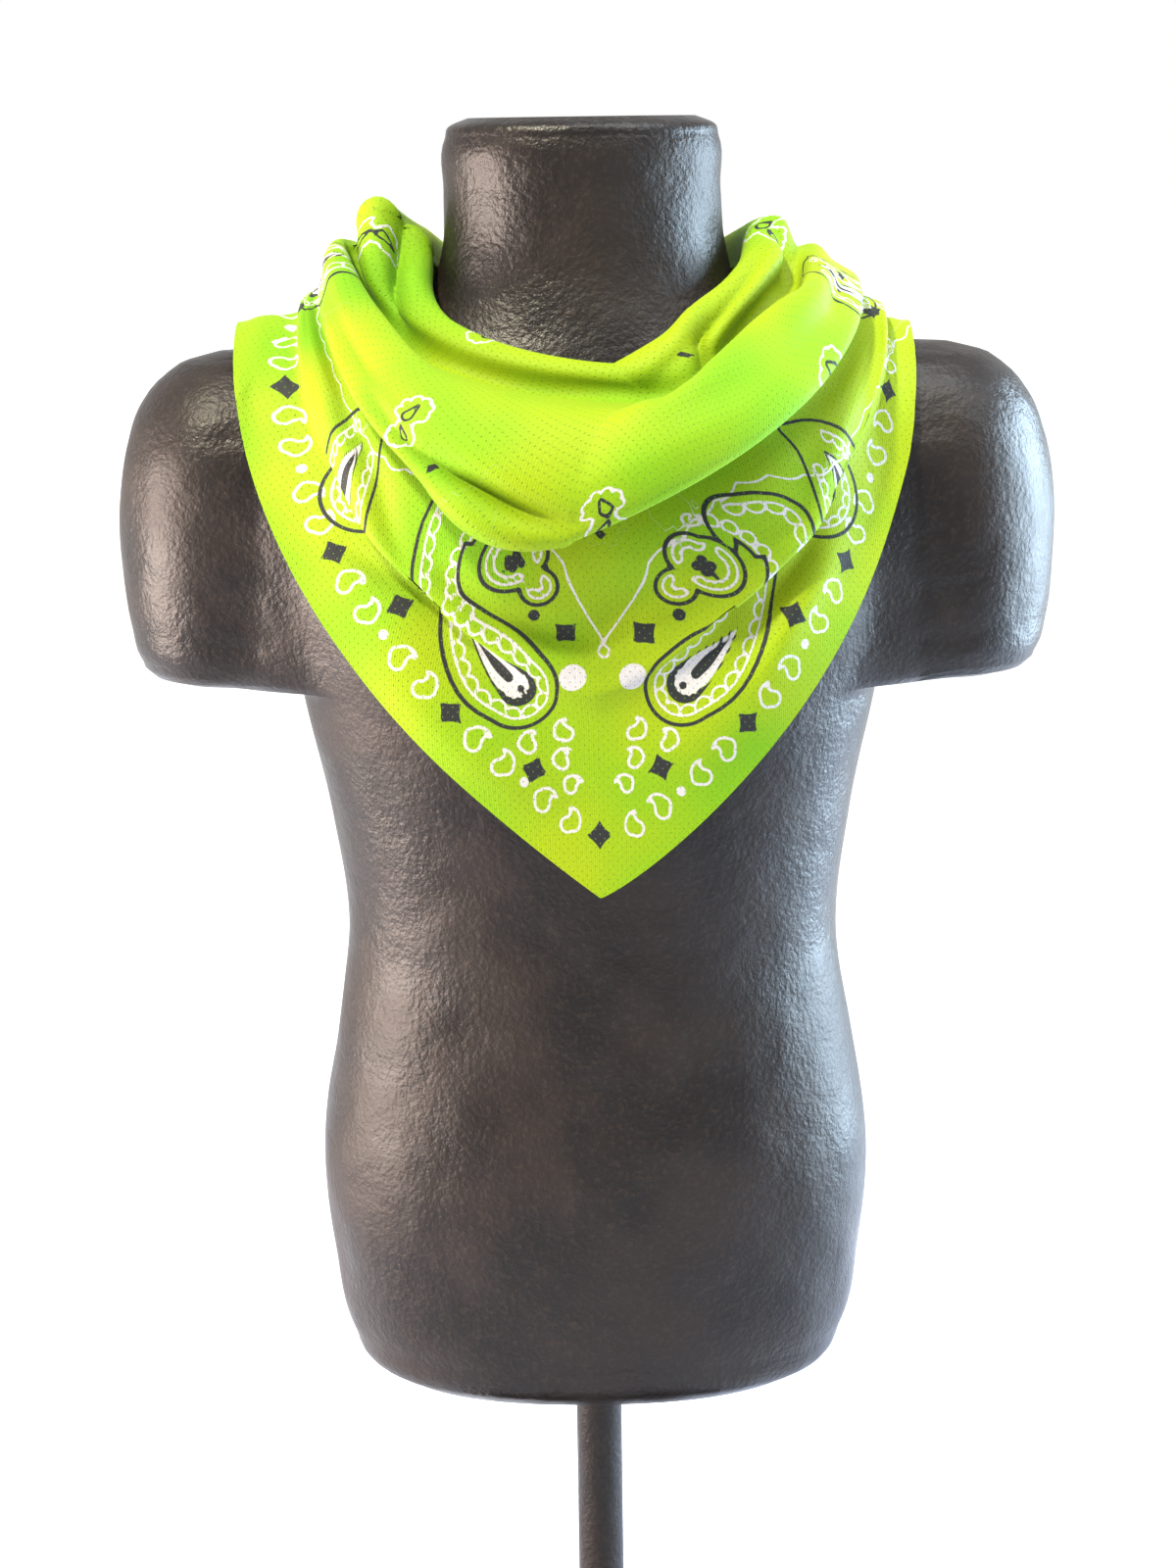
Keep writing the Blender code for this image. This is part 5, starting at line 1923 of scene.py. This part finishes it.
@dataclass
class Studio:
    """A pale floor in white surroundings, warm lights on the left and a cool one on the right."""

    target: Place = (-0.0014, -0.12, 0.616)
    distance: float = 1.5
    elevation: float = math.radians(12)
    roll: float = math.radians(0.8)
    lens: float = 70.3125
    sensor: float = 36.0
    far_end: float = 200.0
    lit_place: Place = (0.0, -0.05, 0.75)
    surroundings: float = 1.0
    floor_size: float = 60.0
    floor_points: int = 9

    @staticmethod
    def turn_to(made: bpy.types.Object, way: Vector) -> None:
        """Turns a light or a camera to face a way."""
        made.rotation_mode = "QUATERNION"
        made.rotation_quaternion = way.to_track_quat("-Z", "Y")

    def camera(self) -> None:
        """The camera, a little above the cloth and looking down on it, rolled a touch."""
        back = Vector((0, -math.cos(self.elevation), math.sin(self.elevation)))
        data = bpy.data.cameras.new("camera")
        data.lens = self.lens
        data.sensor_width = self.sensor
        data.clip_end = self.far_end
        made = add_object("camera", data)
        made.location = Vector(self.target) + back * self.distance
        self.turn_to(made, -back)
        looking = made.rotation_quaternion.to_matrix()
        made.rotation_quaternion = (looking @ Matrix.Rotation(-self.roll, 3, "Z")).to_quaternion()
        bpy.context.scene.camera = made

    def light(self, name: str, place: Place, power: float, size: float, colour: Place) -> None:
        """A square soft light that faces the cloth.

        Args:
            name: its name.
            place: where it hangs.
            power: in watts.
            size: of its side.
            colour: of its light.
        """
        data = bpy.data.lights.new(name, "AREA")
        data.energy = power
        data.size = size
        data.color = colour
        made = add_object(name, data)
        made.location = place
        self.turn_to(made, Vector(self.lit_place) - Vector(place))
        made.visible_camera = False

    def sun(self, name: str, toward: Place, strength: float, breadth: float, colour: Place) -> None:
        """A far, broad light.

        Args:
            name: its name.
            toward: the way from the cloth towards it.
            strength: in watts a square metre.
            breadth: how wide it looks from the cloth, in radians.
            colour: of its light.
        """
        data = bpy.data.lights.new(name, "SUN")
        data.energy = strength
        data.angle = breadth
        data.color = colour
        self.turn_to(add_object(name, data), -Vector(toward))

    def build(self) -> None:
        """The camera, the lights, the white surroundings and the floor, which faces up."""
        self.camera()
        self.sun("key", (-0.76, -0.74, 1.55), 8.4, 0.12, (1.0, 0.92, 0.70))
        self.light("left_box", (-1.50, -0.35, 0.60), 120.0, 1.0, (1.0, 0.82, 0.72))
        self.light("top_box", (0.40, -0.30, 2.00), 28.0, 0.9, (0.92, 0.97, 1.0))
        self.light("window", (1.60, 0.30, 0.80), 190.0, 1.4, (0.62, 0.82, 1.0))
        world = bpy.data.worlds.new("surroundings")
        world.use_nodes = True
        world.node_tree.nodes["Background"].inputs[0].default_value = (1, 1, 1, 1)
        world.node_tree.nodes["Background"].inputs[1].default_value = self.surroundings
        bpy.context.scene.world = world
        bpy.context.scene.view_settings.view_transform = "Standard"
        half = self.floor_size / 2
        steps = np.linspace(-half, half, self.floor_points)
        grid = np.stack(np.meshgrid(steps, steps, [0.0], indexing="ij"), axis=-1).reshape(-1, 3)
        mesh = mesh_of("floor", grid, [quads(self.floor_points, self.floor_points)[:, ::-1]])
        mesh.materials.append(StudioFloor().material())
        add_object("floor", mesh)


def main() -> None:
    """Builds the studio and every piece in order."""
    logging.basicConfig(level=logging.INFO, format="%(message)s")
    Studio().build()
    bronze = CastBronze().material()
    printed = MeshJersey().material(True)
    plain = MeshJersey().material(False)
    form = TorsoForm()
    torso = form.build(bronze)
    Stand().build(bronze)
    cloth = Bandana().build(form, printed)
    knot = Knot().build(plain)
    tails = [
        Tail("left_tail", (-0.0095, 0.1015, 0.5375), (-0.043, 0.1165, 0.4540), 0.30, 0.003),
        Tail("right_tail", (0.0095, 0.1045, 0.5375), (0.031, 0.1195, 0.4450), -0.35, -0.003, fullest_at=0.40),
    ]
    hung = [tail.build(plain) for tail in tails]


if __name__ == "__main__":
    main()
